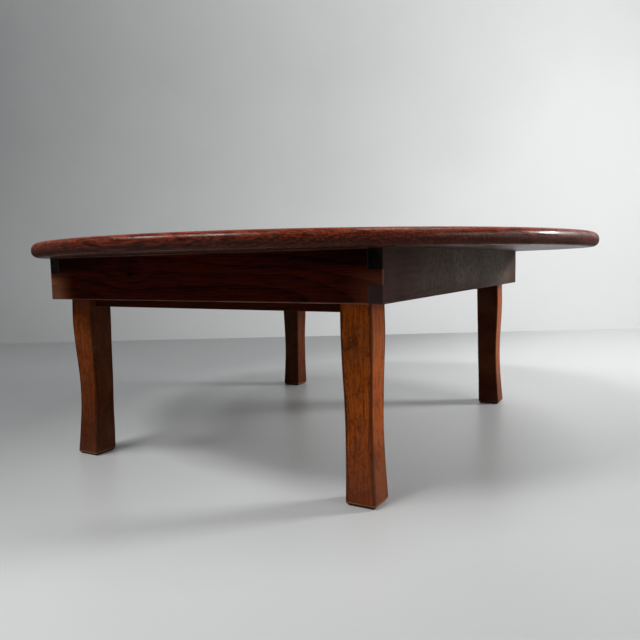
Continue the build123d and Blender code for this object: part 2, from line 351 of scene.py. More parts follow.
def box_edges() -> ShaderGroup:
    """How near a point of a box-shaped piece is to one of the box's edges.

    Returns:
        The effect, whose output Edge falls from 1 on an edge to 0 at Width from it.
    """
    group = ShaderGroup("box_edges", {"Vector": ORIGIN, "Half": (0.1, 0.1, 0.1), "Width": 2 * MM}, ("Edge",))
    sheet, into = group.sheet, group.into
    inward = sheet.vector("SUBTRACT", into["Half"], sheet.vector("ABSOLUTE", into["Vector"]))
    a, b, c = sheet.split(inward)
    second = sheet.most(sheet.math("MINIMUM", a, b), sheet.math("MINIMUM", sheet.most(a, b), c))
    return group.close(Edge=sheet.ramp(second, 0.0, into["Width"], 1.0, 0.0))


CLOUDS = Spots(14.0, 14.0, 14.0, 4.0, 0.62, 0.6)
STAINS = Spots(32.0, 46.0, 46.0, 3.0, 0.6, 0.4)
WOBBLES = Spots(30.0, 30.0, 30.0, 1.0)
WOBBLE_DEPTH = 20 * MM
LINES = Spots(28.0, 28.0, 1500.0, 1.0, 0.4)
CROSS_LINES = Spots(1300.0, 1300.0, 22.0, 1.0, 0.4)
LINE_STEP = (0.70, 0.78)
DOTS = Spots(260.0, 260.0, 260.0, 2.0, 0.6)


def age_marks() -> ShaderGroup:
    """The marks of long use: clouds of dust, stains, fine scratches and worn spots.

    Returns:
        The effect, with outputs Cloud, Stain, Scratch and Spot from 0 to 1.
    """
    group = ShaderGroup(
        "age_marks", {"Vector": ORIGIN, "Seed": 0.0, "Size": 1.0}, ("Cloud", "Stain", "Scratch", "Spot"))
    sheet, into = group.sheet, group.into
    shift = sheet.join(into["Seed"], sheet.times(into["Seed"], 1.7), 0.0)
    place = sheet.scaled(sheet.vector("ADD", into["Vector"], shift), into["Size"])
    wobble = sheet.times(sheet.noise(place, WOBBLES), WOBBLE_DEPTH)
    bent = sheet.vector("ADD", place, sheet.join(0.0, wobble, 0.0))
    scratches = [sheet.ramp(sheet.noise(bent, lines), *LINE_STEP) for lines in (LINES, CROSS_LINES)]
    return group.close(
        Cloud=sheet.ramp(sheet.noise(place, CLOUDS), 0.36, 0.70),
        Stain=sheet.ramp(sheet.noise(place, STAINS), 0.60, 0.78),
        Scratch=sheet.most(*scratches),
        Spot=sheet.ramp(sheet.noise(place, DOTS), 0.66, 0.74),
    )


FIGURE, EDGES, MARKS = wood_figure(), box_edges(), age_marks()


# ---------------------------------------------------------------- finishes
# Where a board's pith may lie from its middle, in metres, and the largest seed of its marks.
PITH_ALONG = 9
PITH_ASIDE = 0.03
PITH_DEPTH = (0.03, 0.07)
MOST_SEED = 40


def blank_sheet(label: str) -> tuple[bpy.types.Material, NodeSheet, Socket]:
    """Starts a new material.

    Args:
        label: The material's name.

    Returns:
        The material, the sheet of its empty tree and the Object coordinates.
    """
    material = bpy.data.materials.new(label)
    material.use_nodes = True
    material.node_tree.nodes.clear()
    sheet = NodeSheet(material.node_tree)
    return material, sheet, sheet.add("ShaderNodeTexCoord").outputs["Object"]


@dataclass(frozen=True)
class Ground:
    """What a finish knows about the point that it colours."""

    sheet: NodeSheet
    spot: Socket
    place: Socket
    half: Vector
    figure: dict[str, Socket]
    marks: dict[str, Socket]


@dataclass(frozen=True)
class WoodFinish:
    """A stained and lacquered wood, with the wear of long use."""

    name: str
    light: Colour
    dark: Colour
    pore: Colour
    worn: Colour
    dust: Colour
    ring_pitch: float = 6.0 * MM
    taper: float = 0.04
    waviness: float = 14.0 * MM
    ring_strength: float = 0.8
    fibre_strength: float = 0.35
    pore_strength: float = 0.5
    mottle: float = 0.3
    dust_amount: float = 0.15
    scratch_amount: float = 0.2
    edge_wear: float = 0.5
    edge_width: float = 2.2 * MM
    spot_wear: float = 0.10
    roughness: float = 0.42
    shine: float = 0.15
    relief: float = 0.06 * MM
    knot: Triple = NO_KNOT

    def edge_mask(self, ground: Ground) -> Socket:
        """The wear mask along the edges of a board, from 0 to 1."""
        feeds = {"Vector": ground.place, "Half": tuple(ground.half), "Width": self.edge_width}
        return EDGES.place(ground.sheet, feeds)["Edge"]

    def dust_mask(self, ground: Ground) -> Socket:
        """Where dust and polish haze lie, from 0 to 1."""
        return ground.sheet.times(ground.marks["Cloud"], self.dust_amount)

    def tint(self, ground: Ground, colour: Socket) -> Socket:
        """Colour changes that one kind of piece adds. A plain finish has none.

        Args:
            ground: The point.
            colour: The wood's colour so far.

        Returns:
            The changed colour.
        """
        return colour

    def dullness(self, ground: Ground) -> object:
        """The roughness under the dust. A plain finish has the same everywhere."""
        return self.roughness

    def emboss(self, ground: Ground, height: Socket) -> Socket:
        """Relief that one kind of piece adds. A plain finish has none."""
        return height

    def grown(self, ground: Ground) -> Socket:
        """The colour of the wood under its wear."""
        sheet, figure = ground.sheet, ground.figure
        late = sheet.lift(figure["Late"], self.ring_strength, figure["Core"])
        fibre = sheet.ramp(figure["Fibre"], 0.36, 0.64, 0.0, self.fibre_strength)
        colour = sheet.blend(sheet.math("ADD", late, fibre, clamp=True), rgba(self.light), rgba(self.dark))
        colour = sheet.blend(sheet.times(figure["Pore"], self.pore_strength), colour, rgba(self.pore))
        return sheet.blend(sheet.times(ground.marks["Stain"], self.mottle), colour, rgba(self.dark))

    def material(self, label: str, low: Vector, high: Vector, grain: Grain, seed: int) -> bpy.types.Material:
        """Writes the finish for one piece.

        Args:
            label: The material's name.
            low: The piece's lowest corner.
            high: Its highest corner.
            grain: The way its fibres run.
            seed: Picks the cut of its board.

        Returns:
            The new material.
        """
        lot = Random(seed)
        material, sheet, spot = blank_sheet(label)
        place = sheet.vector("SUBTRACT", spot, tuple((low + high) / 2))
        turned = sheet.add("ShaderNodeMapping", {"Vector": place, "Rotation": grain.value}).outputs[0]
        along, aside = lot.uniform(-PITH_ALONG, PITH_ALONG), lot.uniform(-PITH_ASIDE, PITH_ASIDE)
        pith = (along, aside, lot.uniform(*PITH_DEPTH) * lot.choice((-1, 1)))
        figure = FIGURE.place(sheet, {
            "Vector": turned, "Pith": pith, "Knot": self.knot, "Ring Pitch": self.ring_pitch,
            "Taper": self.taper, "Waviness": self.waviness,
        })
        marks = MARKS.place(sheet, {"Vector": turned, "Seed": lot.uniform(0, MOST_SEED)})
        ground = Ground(sheet, spot, place, (high - low) / 2, figure, marks)

        colour = self.tint(ground, self.grown(ground))
        broken = sheet.lift(marks["Cloud"], 0.6, 0.4)
        worn = sheet.math("MULTIPLY", sheet.times(self.edge_mask(ground), self.edge_wear), broken, clamp=True)
        worn = sheet.most(worn, sheet.times(marks["Spot"], self.spot_wear))
        colour = sheet.blend(worn, colour, rgba(self.worn))
        # The dust colour stands for dust and scratches, and on the side aprons also for painted sheen.
        dust_and_sheen = sheet.lift(marks["Scratch"], self.scratch_amount, self.dust_mask(ground), clamp=True)
        colour = sheet.blend(dust_and_sheen, colour, rgba(self.dust))

        rough = sheet.lift(dust_and_sheen, 0.5, self.dullness(ground))
        rough = sheet.lift(figure["Pore"], 0.15, rough, clamp=True)
        height = sheet.lift(figure["Pore"], -1.0, sheet.times(figure["Fibre"], 0.6))
        height = self.emboss(ground, sheet.lift(marks["Scratch"], -0.5, height))
        sheet.show(sheet.principled({
            "Base Color": colour, "Roughness": rough, "Normal": sheet.bump(height, self.relief),
            "Specular IOR Level": self.shine,
        }))
        return material


LIGHTENED_PATCHES = Spots(34.0, 110.0, 1.0, 3.0, 0.6)
RIM_SMOKE = Spots(38.0, 320.0, 1.0, 3.0, 0.6)
RIM_POLISH = Spots(40.0, 120.0, 1.0, 3.0, 0.6)
CHATTER = Spots(260.0, 60.0, 1.0, 3.0, 0.6)


@dataclass(frozen=True)
class TopFinish(WoodFinish):
    """The top's finish, redder and lighter on its upper rounding, partly from wear by hands and partly as
    painted light, and darker low on the rim as painted shade.
    """

    radius: float = 400.0 * MM
    upper_face: float = 285.0 * MM
    # The red of the upper rounding: partly wear by hands, partly painted light where it faces the lamps.
    rubbed: Colour = (0.33, 0.062, 0.026)
    # shaded: painted shade low on the rim, and the colour of its dark smoke streaks.
    shaded: Colour = (0.028, 0.0066, 0.0030)
    bare: Colour = (0.060, 0.024, 0.013)
    smoke: float = 0.78
    tool_marks: float = 3.4
    dull_way: Triple = (-0.574, -0.819, 0.0)

    def rim_step(self, ground: Ground, outer: float, inner: float) -> Socket:
        """A step from 0 to 1 between two reaches, in millimetres inside the rim."""
        sheet = ground.sheet
        x, y, _ = sheet.split(ground.spot)
        reach = sheet.math("SQRT", sheet.plus(sheet.math("POWER", x, 2.0), sheet.math("POWER", y, 2.0)))
        return sheet.ramp(reach, self.radius - outer * MM, self.radius - inner * MM)

    def depth_step(self, ground: Ground, first: float, second: float, start: float = 0.0,
                   end: float = 1.0) -> Socket:
        """A step between two depths, in millimetres under the upper face."""
        z = ground.sheet.split(ground.spot)[2]
        low, high = self.upper_face - first * MM, self.upper_face - second * MM
        return ground.sheet.ramp(z, low, high, start, end)

    def rim_noise(self, ground: Ground, slope: float, spots: Spots) -> Socket:
        """Noise that lies along the rim and leans over it.

        Args:
            ground: The point.
            slope: How far the spots lean along the rim for each step of height.
            spots: The noise, with its x along the rim and its y up it.

        Returns:
            A number around 0.5.
        """
        sheet = ground.sheet
        x, y, z = sheet.split(ground.spot)
        along = sheet.times(sheet.math("ARCTAN2", y, x), self.radius)
        return sheet.noise(sheet.join(sheet.lift(z, slope, along), z, 0.0), spots)

    def edge_mask(self, ground: Ground) -> Socket:
        """The wear of the rim: a narrow band where its upper rounding begins."""
        return ground.sheet.times(self.rim_step(ground, 15, 8), self.depth_step(ground, 2.5, 1.0))

    def tint(self, ground: Ground, colour: Socket) -> Socket:
        """Darkens the seams, bares the underside, smokes the rim, reddens and lightens its upper rounding,
        partly as wear and partly as painted light, and darkens its lower half as painted shade.
        """
        sheet = ground.sheet
        across = sheet.math("ABSOLUTE", sheet.split(ground.place)[1])
        seam = sheet.ramp(across, ground.half.y - 1.5 * MM, ground.half.y - 0.5 * MM, 0.0, 0.9)
        colour = sheet.blend(sheet.times(seam, self.rim_step(ground, 2, 6)), colour, rgba(self.pore))
        colour = sheet.blend(self.depth_step(ground, 16.5, 17.6, 0.0, 0.7), colour, rgba(self.bare))
        rim = self.rim_step(ground, 14, 5)
        # The upper rounding is painted redder and lighter in patches, partly as wear and partly as painted
        # light.
        patch = sheet.ramp(self.rim_noise(ground, 0.9, LIGHTENED_PATCHES), 0.36, 0.60, 0.36, 0.82)
        patch = sheet.times(patch, sheet.ramp(ground.figure["Fibre"], 0.62, 0.42, 0.42, 1.0))
        rubbed = sheet.times(rim, self.depth_step(ground, 11, 2), patch)
        colour = sheet.blend(rubbed, colour, rgba(self.rubbed))
        # Painted shade: the lower half of the rim darkened.
        colour = sheet.blend(self.depth_step(ground, 8, 15, 0.0, 0.5), colour, rgba(self.shaded))
        smoke = sheet.ramp(self.rim_noise(ground, 1.1, RIM_SMOKE), 0.46, 0.64)
        return sheet.blend(sheet.times(smoke, rim, self.smoke), colour, rgba(self.shaded))

    def dullness(self, ground: Ground) -> Socket:
        """Rougher low on the rim and on its end grain, and polished in patches over it."""
        sheet = ground.sheet
        patch = sheet.ramp(self.rim_noise(ground, 1.2, RIM_POLISH), 0.38, 0.62, -0.08, 0.10)
        across_fibres = sheet.math("ABSOLUTE", sheet.split(ground.spot)[0])
        end_grain = sheet.ramp(across_fibres, 0.365, 0.396, 0.0, 0.30)
        unpolished = sheet.ramp(sheet.dot(ground.spot, self.dull_way), 0.355, 0.392, 0.0, 0.32)
        rim = sheet.plus(patch, end_grain, unpolished)
        face = sheet.lift(ground.marks["Cloud"], 0.05, 0.04)
        both = sheet.lift(sheet.math("SUBTRACT", rim, face), self.rim_step(ground, 14, 8), face)
        low = self.depth_step(ground, 7, 12, self.roughness, 0.70)
        under = self.depth_step(ground, 16.5, 17.6, 0.0, -0.42)
        return sheet.math("ADD", sheet.plus(low, under), both, clamp=True)

    def emboss(self, ground: Ground, height: Socket) -> Socket:
        """Adds the slanting marks that the spokeshave left on the rim."""
        sheet = ground.sheet
        chatter = sheet.times(self.rim_noise(ground, 1.4, CHATTER), self.rim_step(ground, 9, 5))
        return sheet.lift(chatter, self.tool_marks, height)


GRIT = Spots(300.0, 300.0, 170.0, 5.0, 0.78)


@dataclass(frozen=True)
class ApronFinish(WoodFinish):
    """An apron board's finish: near black end grain, and a haze of dust and painted sheen on the middle of
    its broad face.
    """

    end_axis: int = 0
    end_grain: Colour = (0.0015, 0.0005, 0.0006)
    low_end_grain: Colour = (0.030, 0.013, 0.014)
    finger_top: float = 231.0 * MM
    browned: Colour = (0.15, 0.045, 0.022)
    browning: float = 0.85
    smoke: float = 0.8
    haze: float = 0.1
    outward: float = 1.0

    def dust_mask(self, ground: Ground) -> Socket:
        """Dust and painted sheen on the outer face, fading towards the board's ends and its lower edge."""
        sheet, half, low = ground.sheet, ground.half[self.end_axis], -ground.half.z
        parts = sheet.split(ground.place)
        along = parts[self.end_axis]
        outside = sheet.ramp(sheet.times(parts[1 - self.end_axis], self.outward), 0.0, 4 * MM)
        inside = sheet.ramp(along, -half + 6 * MM, -half + 240 * MM)
        inside = sheet.times(inside, sheet.ramp(along, half - 4 * MM, half - 120 * MM))
        above = sheet.ramp(parts[2], low, low + 20 * MM, 0.4, 1.0)
        grit = sheet.ramp(sheet.noise(ground.place, GRIT), 0.42, 0.58, 0.30, 1.05)
        # The haze is partly dust and partly painted sheen.
        haze = sheet.times(inside, above, self.haze, outside, grit)
        return sheet.lift(haze, sheet.lift(ground.marks["Cloud"], 0.35, 0.65), super().dust_mask(ground))

    def tint(self, ground: Ground, colour: Socket) -> Socket:
        """Browns and smokes the board's ends, and darkens the end grain in its finger joints."""
        sheet, half, top = ground.sheet, ground.half[self.end_axis], self.finger_top
        place = sheet.split(ground.place)[self.end_axis]
        along = sheet.math("ABSOLUTE", place)
        height = sheet.split(ground.spot)[2]
        near_end = sheet.ramp(along, half - 48 * MM, half - 4 * MM)
        below = sheet.ramp(height, top + 20 * MM, top + 4 * MM)
        first_end = sheet.ramp(place, -0.1, 0.1, self.browning, self.browning * 0.35)
        brown = sheet.times(near_end, below, first_end, sheet.lift(ground.figure["Late"], -0.8, 1.0))
        colour = sheet.blend(brown, colour, rgba(self.browned))
        smoke = sheet.ramp(height, top + 12 * MM, top + 26 * MM, 0.0, self.smoke)
        dim = sheet.ramp(along, half - 190 * MM, half - 30 * MM)
        colour = sheet.blend(sheet.times(smoke, dim), colour, rgba(self.dark))
        low = sheet.ramp(height, top + 0.5 * MM, top - 0.5 * MM)
        fleck = sheet.lift(ground.figure["Pore"], 0.3, low, clamp=True)
        grain = sheet.blend(fleck, rgba(self.end_grain), rgba(self.low_end_grain))
        return sheet.blend(sheet.ramp(along, half - 1.1 * MM, half - 0.5 * MM), colour, grain)


SOOT = Spots(88.0, 88.0, 52.0, 8.0, 0.80, 0.7)
SOOT_STREAKS = Spots(560.0, 560.0, 24.0, 3.0, 0.7)
SOOT_SPECKS = Spots(420.0, 420.0, 260.0, 3.0, 0.7)


@dataclass(frozen=True)
class LegFinish(WoodFinish):
    """A leg's finish, whose wear follows the edge attribute of its mesh, and whose painted shade on the faces
    that look to the table's middle follows its inner attribute.
    """

    foot_height: float = 125.0 * MM
    foot: Colour = (0.13, 0.026, 0.008)
    sole_height: float = 2.8 * MM
    # The sole colour is partly dirt and partly painted contact shade on the downward chamfer.
    sole: Colour = (0.006, 0.002, 0.0015)
    arris: Colour = (0.34, 0.14, 0.07)
    blotch: Colour = (0.036, 0.0055, 0.0014)
    # Painted shade: the colour and share laid on the faces that look to the table's middle, in the shade
    # under the top.
    inner: Colour = (0.022, 0.0034, 0.0006)
    inner_share: float = 0.98

    def edge_mask(self, ground: Ground) -> Socket:
        """Reads how near the point is to a long edge of the leg."""
        return ground.sheet.add("ShaderNodeAttribute", attribute_name="edge").outputs["Fac"]

    def tint(self, ground: Ground, colour: Socket) -> Socket:
        """Paints shade on the faces turned inwards and on the top under the apron, blotches and streaks the
        shaft, darkens its corners as grime and painted shade, reddens the foot, and blackens its chamfer as
        dirt and painted contact shade.
        """
        sheet, sole = ground.sheet, self.sole_height
        height = sheet.split(ground.spot)[2]
        colour = sheet.blend(sheet.ramp(height, self.foot_height, 0.0, 0.0, 0.9), colour, rgba(self.foot))
        # Painted shade on the faces turned inwards, a little weaker near the floor.
        inward_shade = sheet.add("ShaderNodeAttribute", attribute_name="inner").outputs["Fac"]
        share = sheet.ramp(height, 20 * MM, 170 * MM, self.inner_share - 0.12, self.inner_share)
        colour = sheet.blend(sheet.times(inward_shade, share), colour, rgba(self.inner))

        cloud = sheet.noise(ground.spot, SOOT)
        # The dark corners are partly grime and partly painted shade along the edges.
        corner = sheet.lift(sheet.math("SUBTRACT", cloud, 0.5), 2.4, self.edge_mask(ground))
        # Painted shade: the top of the leg darkened where the apron above shades it.
        crown = sheet.ramp(height, 196 * MM, 210 * MM, 0.0, 0.7)
        soot_and_shade = sheet.most(
            sheet.ramp(cloud, 0.46, 0.67),
            sheet.ramp(sheet.noise(ground.spot, SOOT_SPECKS), 0.54, 0.66, 0.0, 0.7),
            sheet.ramp(sheet.noise(ground.spot, SOOT_STREAKS), 0.50, 0.66, 0.0, 0.85),
            sheet.ramp(corner, 0.08, 0.52),
            sheet.times(crown, sheet.ramp(cloud, 0.35, 0.6)),
        )
        colour = sheet.blend(sheet.times(soot_and_shade, self.mottle), colour, rgba(self.blotch))
        rubbed = sheet.times(
            sheet.ramp(height, sole, sole + 0.4 * MM), sheet.ramp(height, sole + 1.6 * MM, sole + 0.9 * MM),
            sheet.ramp(cloud, 0.40, 0.55, 0.1, 0.8))
        colour = sheet.blend(rubbed, colour, rgba(self.arris))
        # The near-black chamfer under the foot is partly dirt and partly painted contact shade.
        return sheet.blend(sheet.ramp(height, sole, sole - MM), colour, rgba(self.sole))


@dataclass(frozen=True)
class SteelFinish:
    """Old bare steel, browned in its hollows."""

    name: str = "old_screw_steel"
    bright: Colour = (0.42, 0.39, 0.35)
    brown: Colour = (0.10, 0.055, 0.03)
    roughness: float = 0.42
    relief: float = 0.03 * MM

    def material(self) -> bpy.types.Material:
        """Writes the finish.

        Returns:
            The new material.
        """
        material, sheet, place = blank_sheet(self.name)
        marks = MARKS.place(sheet, {"Vector": place, "Seed": 3.0, "Size": 9.0})
        rust = sheet.lift(marks["Cloud"], 0.6, 0.15)
        sheet.show(sheet.principled({
            "Base Color": sheet.blend(rust, rgba(self.bright), rgba(self.brown)),
            "Roughness": sheet.lift(rust, 0.35, self.roughness, clamp=True),
            "Metallic": sheet.math("SUBTRACT", 1.0, sheet.times(rust, 0.8)),
            "Normal": sheet.bump(marks["Scratch"], self.relief),
        }))
        return material


TOP_LACQUER = TopFinish(
    "top_lacquer", light=(0.20, 0.027, 0.0085), dark=(0.013, 0.0030, 0.0017), pore=(0.003, 0.0010, 0.0008),
    worn=(0.36, 0.060, 0.024), dust=(0.13, 0.065, 0.055), ring_pitch=4.5 * MM, taper=0.03, waviness=26 * MM,
    ring_strength=1.0, fibre_strength=0.85, pore_strength=0.9, dust_amount=0.06, roughness=0.21, shine=0.16,
)
# Its light worn edges are partly wear and partly a painted highlight along the lower arris.
APRON_END_LACQUER = ApronFinish(
    "apron_lacquer", light=(0.066, 0.0068, 0.0016), dark=(0.0024, 0.0003, 0.0002),
    pore=(0.002, 0.0004, 0.0003), worn=(0.26, 0.13, 0.10), dust=(0.060, 0.042, 0.036), ring_pitch=13 * MM,
    taper=0.06, waviness=90 * MM, ring_strength=1.1, fibre_strength=0.5, dust_amount=0.01,
    scratch_amount=0.02, edge_width=2.0 * MM, edge_wear=0.9, spot_wear=0.03, roughness=0.45, shine=0.02,
    haze=0.0, mottle=0.5, knot=(-0.094, 0.0, 0.004), end_grain=(0.045, 0.025, 0.019),
    low_end_grain=(0.045, 0.025, 0.019), browned=(0.25, 0.085, 0.042),
)
# On the side aprons the dust colour is laid as a haze that is partly dust and partly painted sheen.
APRON_SIDE_LACQUER = ApronFinish(
    "apron_lacquer", light=(0.055, 0.016, 0.0085), dark=(0.010, 0.0034, 0.0024), pore=(0.004, 0.0015, 0.0012),
    worn=(0.16, 0.090, 0.066), dust=(0.175, 0.158, 0.132), ring_pitch=7 * MM, waviness=24 * MM,
    dust_amount=0.07, scratch_amount=0.50, edge_width=1.4 * MM, roughness=0.50, shine=0.05, end_axis=1,
    haze=0.92, browned=(0.055, 0.022, 0.014), smoke=0.2, relief=0.12 * MM,
    low_end_grain=(0.050, 0.024, 0.027),
)
APRON_LEFT_LACQUER = replace(APRON_SIDE_LACQUER, low_end_grain=(0.12, 0.042, 0.020), outward=-1.0)
RAIL_LACQUER = WoodFinish(
    "rail_lacquer", light=(0.050, 0.0070, 0.0022), dark=(0.007, 0.0012, 0.0007), pore=(0.003, 0.0008, 0.0008),
    worn=(0.06, 0.015, 0.008), dust=(0.06, 0.04, 0.035), edge_width=1.2 * MM, roughness=0.45, shine=0.03,
    dust_amount=0.02,
)
LEG_LACQUER = LegFinish(
    "leg_lacquer", light=(0.45, 0.095, 0.0070), dark=(0.18, 0.029, 0.002), pore=(0.050, 0.008, 0.002),
    worn=(0.45, 0.16, 0.05), dust=(0.40, 0.19, 0.10), ring_pitch=5.5 * MM, taper=0.015, waviness=10 * MM,
    ring_strength=0.55, mottle=0.82, dust_amount=0.08, scratch_amount=0.06, edge_wear=0.06, roughness=0.38,
    shine=0.04,
)
# Painted shade: a darker copy of the leg lacquer for the front left leg, which stands in less light.
SHADED_LEG_LACQUER = replace(
    LEG_LACQUER, light=(0.20, 0.040, 0.0030), dark=(0.085, 0.014, 0.001), foot=(0.075, 0.017, 0.006),
    blotch=(0.022, 0.0033, 0.0009), inner=(0.030, 0.0050, 0.0010),
)
STAY_WOOD = WoodFinish(
    "stay_wood", light=(0.22, 0.085, 0.035), dark=(0.10, 0.034, 0.014), pore=(0.05, 0.018, 0.009),
    worn=(0.33, 0.17, 0.09), dust=(0.28, 0.20, 0.15), ring_pitch=4 * MM, roughness=0.55,
)
INNER_WOOD = WoodFinish(
    "inner_wood", light=(0.26, 0.125, 0.06), dark=(0.13, 0.052, 0.024), pore=(0.07, 0.028, 0.014),
    worn=(0.34, 0.19, 0.10), dust=(0.26, 0.19, 0.14), ring_pitch=4.5 * MM, dust_amount=0.25, roughness=0.62,
)
DOWEL_WOOD = WoodFinish(
    "dowel_wood", light=(0.20, 0.085, 0.040), dark=(0.09, 0.032, 0.015), pore=(0.04, 0.015, 0.008),
    worn=(0.24, 0.12, 0.07), dust=(0.20, 0.14, 0.11), ring_pitch=1.4 * MM, roughness=0.55,
)
PIN_WOOD = WoodFinish(
    "pin_lacquer", light=(0.045, 0.018, 0.011), dark=(0.020, 0.007, 0.004), pore=(0.006, 0.002, 0.0015),
    worn=(0.05, 0.025, 0.016), dust=(0.060, 0.045, 0.037), ring_pitch=1.4 * MM, dust_amount=0.5,
    roughness=0.5, shine=0.06,
)


# ---------------------------------------------------------------- pieces
def new_thing(name: str, data: bpy.types.ID) -> bpy.types.Object:
    """Puts a mesh, a lamp or a camera into the scene at the origin."""
    thing = bpy.data.objects.new(name, data)
    bpy.context.scene.collection.objects.link(thing)
    return thing


def mesh_from(shape: bmesh.types.BMesh, name: str, sharp_degrees: float = 35.0) -> bpy.types.Mesh:
    """Turns a bmesh into a smooth-shaded mesh that keeps its sharp edges.

    Args:
        shape: The finished shape, which is freed.
        name: The mesh's name.
        sharp_degrees: The angle past which an edge stays sharp.

    Returns:
        The mesh.
    """
    mesh = bpy.data.meshes.new(name)
    shape.to_mesh(mesh)
    shape.free()
    mesh.shade_smooth()
    mesh.set_sharp_from_angle(angle=radians(sharp_degrees))
    return mesh


def applied(holder: bpy.types.Object) -> bpy.types.Mesh:
    """The mesh that an object's modifiers make. The object is removed."""
    bpy.context.view_layer.update()
    evaluated = holder.evaluated_get(bpy.context.evaluated_depsgraph_get())
    mesh = bpy.data.meshes.new_from_object(evaluated)
    holder.modifiers.clear()
    bpy.data.objects.remove(holder)
    return mesh


def evenly_shaded(mesh: bpy.types.Mesh) -> bpy.types.Mesh:
    """Lets the broad faces of a mesh set the shading of the narrow ones beside them.

    Args:
        mesh: The mesh, which is used up.

    Returns:
        The mesh with its new normals.
    """
    holder = new_thing(mesh.name + "_holder", mesh)
    holder.modifiers.new("even_normals", "WEIGHTED_NORMAL").keep_sharp = True
    shaded = applied(holder)
    bpy.data.meshes.remove(mesh)
    return shaded


def stand_for(piece: bpy.types.Object, node: str) -> None:
    """Makes a finished piece ride as the node does, and replace it."""
    record = frame["record"]
    body = next(body for body, nodes in record["behaviour"]["bodies"].items() if node in nodes)
    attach(piece, body)
    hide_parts(node)
    LOG.info("%s stands for %s with %d faces", piece.name, node, len(piece.data.polygons))


def paint(thing: bpy.types.Object, material: bpy.types.Material) -> None:
    """Gives an object one material in place of those that it has."""
    thing.data.materials.clear()
    thing.data.materials.append(material)


def welded(node: str) -> bmesh.types.BMesh:
    """A copy of a node's shape with its vertices joined."""
    shape = bmesh.new()
    shape.from_mesh(frame["nodes"][node].data)
    bmesh.ops.remove_doubles(shape, verts=shape.verts, dist=WELD)
    return shape


def turned_outwards(shape: bmesh.types.BMesh) -> bmesh.types.BMesh:
    """Turns the faces of a closed shape outwards."""
    bmesh.ops.recalc_face_normals(shape, faces=shape.faces)
    if shape.calc_volume(signed=True) < 0:
        bmesh.ops.reverse_faces(shape, faces=shape.faces)
    return shape


def bridge(shape: bmesh.types.BMesh, rings: Sequence[list[bmesh.types.BMVert]], around: int) -> None:
    """Joins rings of points with faces. A ring of one point is a pole.

    Args:
        shape: The shape that holds the points.
        rings: The rings in order.
        around: The number of points in a full ring.
    """
    for lower, upper in zip(rings, rings[1:]):
        for k in range(around):
            steps = ((lower, k), (lower, k + 1), (upper, k + 1), (upper, k))
            corners = [ring[step % around % len(ring)] for ring, step in steps]
            shape.faces.new(list(dict.fromkeys(corners)))


def lathe(profile: Sequence[tuple[float, float]], around: int) -> bmesh.types.BMesh:
    """A closed turned shape about the Z axis.

    Args:
        profile: Radius and height of each ring, from one pole to the other.
        around: The number of points in a ring.

    Returns:
        The shape.
    """
    shape = bmesh.new()
    rings = []
    for radius, height in profile:
        angles = [tau * k / around for k in range(around if radius else 1)]
        rings.append([shape.verts.new((radius * cos(a), radius * sin(a), height)) for a in angles])
    bridge(shape, rings, around)
    return turned_outwards(shape)


@dataclass(frozen=True)
class EasedBoard:
    """A board that keeps its solid's shape, with each sharp edge taken off by a stroke of the plane."""

    node: str
    finish: WoodFinish
    grain: Grain
    seed: int
    ease: float = 0.35 * MM
    flat_degrees: float = 0.5
    sharp_degrees: float = 40.0
    shading_degrees: float = 60.0

    def build(self) -> None:
        """Builds and dresses the board."""
        shape = welded(self.node)
        flat = radians(self.flat_degrees)
        bmesh.ops.dissolve_limit(shape, angle_limit=flat, verts=shape.verts[:], edges=shape.edges[:])
        sharp = [edge for edge in shape.edges if edge.calc_face_angle(0.0) > radians(self.sharp_degrees)]
        bmesh.ops.bevel(
            shape, geom=sharp, offset=self.ease, segments=2, profile=0.5, affect="EDGES", clamp_overlap=True,
        )
        mesh = evenly_shaded(mesh_from(shape, self.node + "_eased", self.shading_degrees))
        piece = new_thing(f"eased_{self.node}", mesh)
        low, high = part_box(self.node)
        label = f"{self.finish.name}_{self.node}"
        paint(piece, self.finish.material(label, low, high, self.grain, self.seed))
        stand_for(piece, self.node)


# ---------------------------------------------------------------- geometry nodes
def geometry_tree(name: str, inputs: dict[str, object]) -> tuple[NodeSheet, dict[str, Socket]]:
    """Starts a geometry tree with named inputs.

    Args:
        name: The tree's name.
        inputs: The default of each input, None for an object.

    Returns:
        The tree's sheet and its inputs by name.
    """
    tree = bpy.data.node_groups.new(name, "GeometryNodeTree")
    tree.interface.new_socket("Geometry", in_out="INPUT", socket_type="NodeSocketGeometry")
    add_inputs(tree, inputs)
    tree.interface.new_socket("Geometry", in_out="OUTPUT", socket_type="NodeSocketGeometry")
    sheet = NodeSheet(tree)
    return sheet, {socket.name: socket for socket in sheet.add("NodeGroupInput").outputs}


def finish_tree(sheet: NodeSheet, geometry: Socket, material: bpy.types.Material) -> NodeSheet:
    """Ends a geometry tree with Realize Instances and Set Material.

    Args:
        sheet: The tree's sheet.
        geometry: What the tree has made.
        material: The finish of it.

    Returns:
        The same sheet.
    """
    real = sheet.add("GeometryNodeRealizeInstances", {"Geometry": geometry}).outputs[0]
    dressed = sheet.add("GeometryNodeSetMaterial", {"Geometry": real, "Material": material})
    sheet.add("NodeGroupOutput", {"Geometry": dressed.outputs[0]})
    return sheet


def grow(name: str, seedling: bpy.types.Mesh, sheet: NodeSheet, values: dict[str, object]) -> bpy.types.Mesh:
    """Runs a geometry tree on a mesh and keeps the result as a plain mesh.

    Args:
        name: The new mesh's name.
        seedling: The mesh that the tree starts from.
        sheet: The tree's sheet.
        values: What to set its named inputs to.

    Returns:
        The plain mesh.
    """
    holder = new_thing(name + "_holder", seedling)
    modifier = holder.modifiers.new(name, "NODES")
    modifier.node_group = sheet.tree
    items = sheet.tree.interface.items_tree
    sockets = {item.name: item.identifier for item in items if item.in_out == "INPUT"}
    for label, value in values.items():
        modifier[sockets[label]] = value
    mesh = applied(holder)
    mesh.name = name
    return mesh


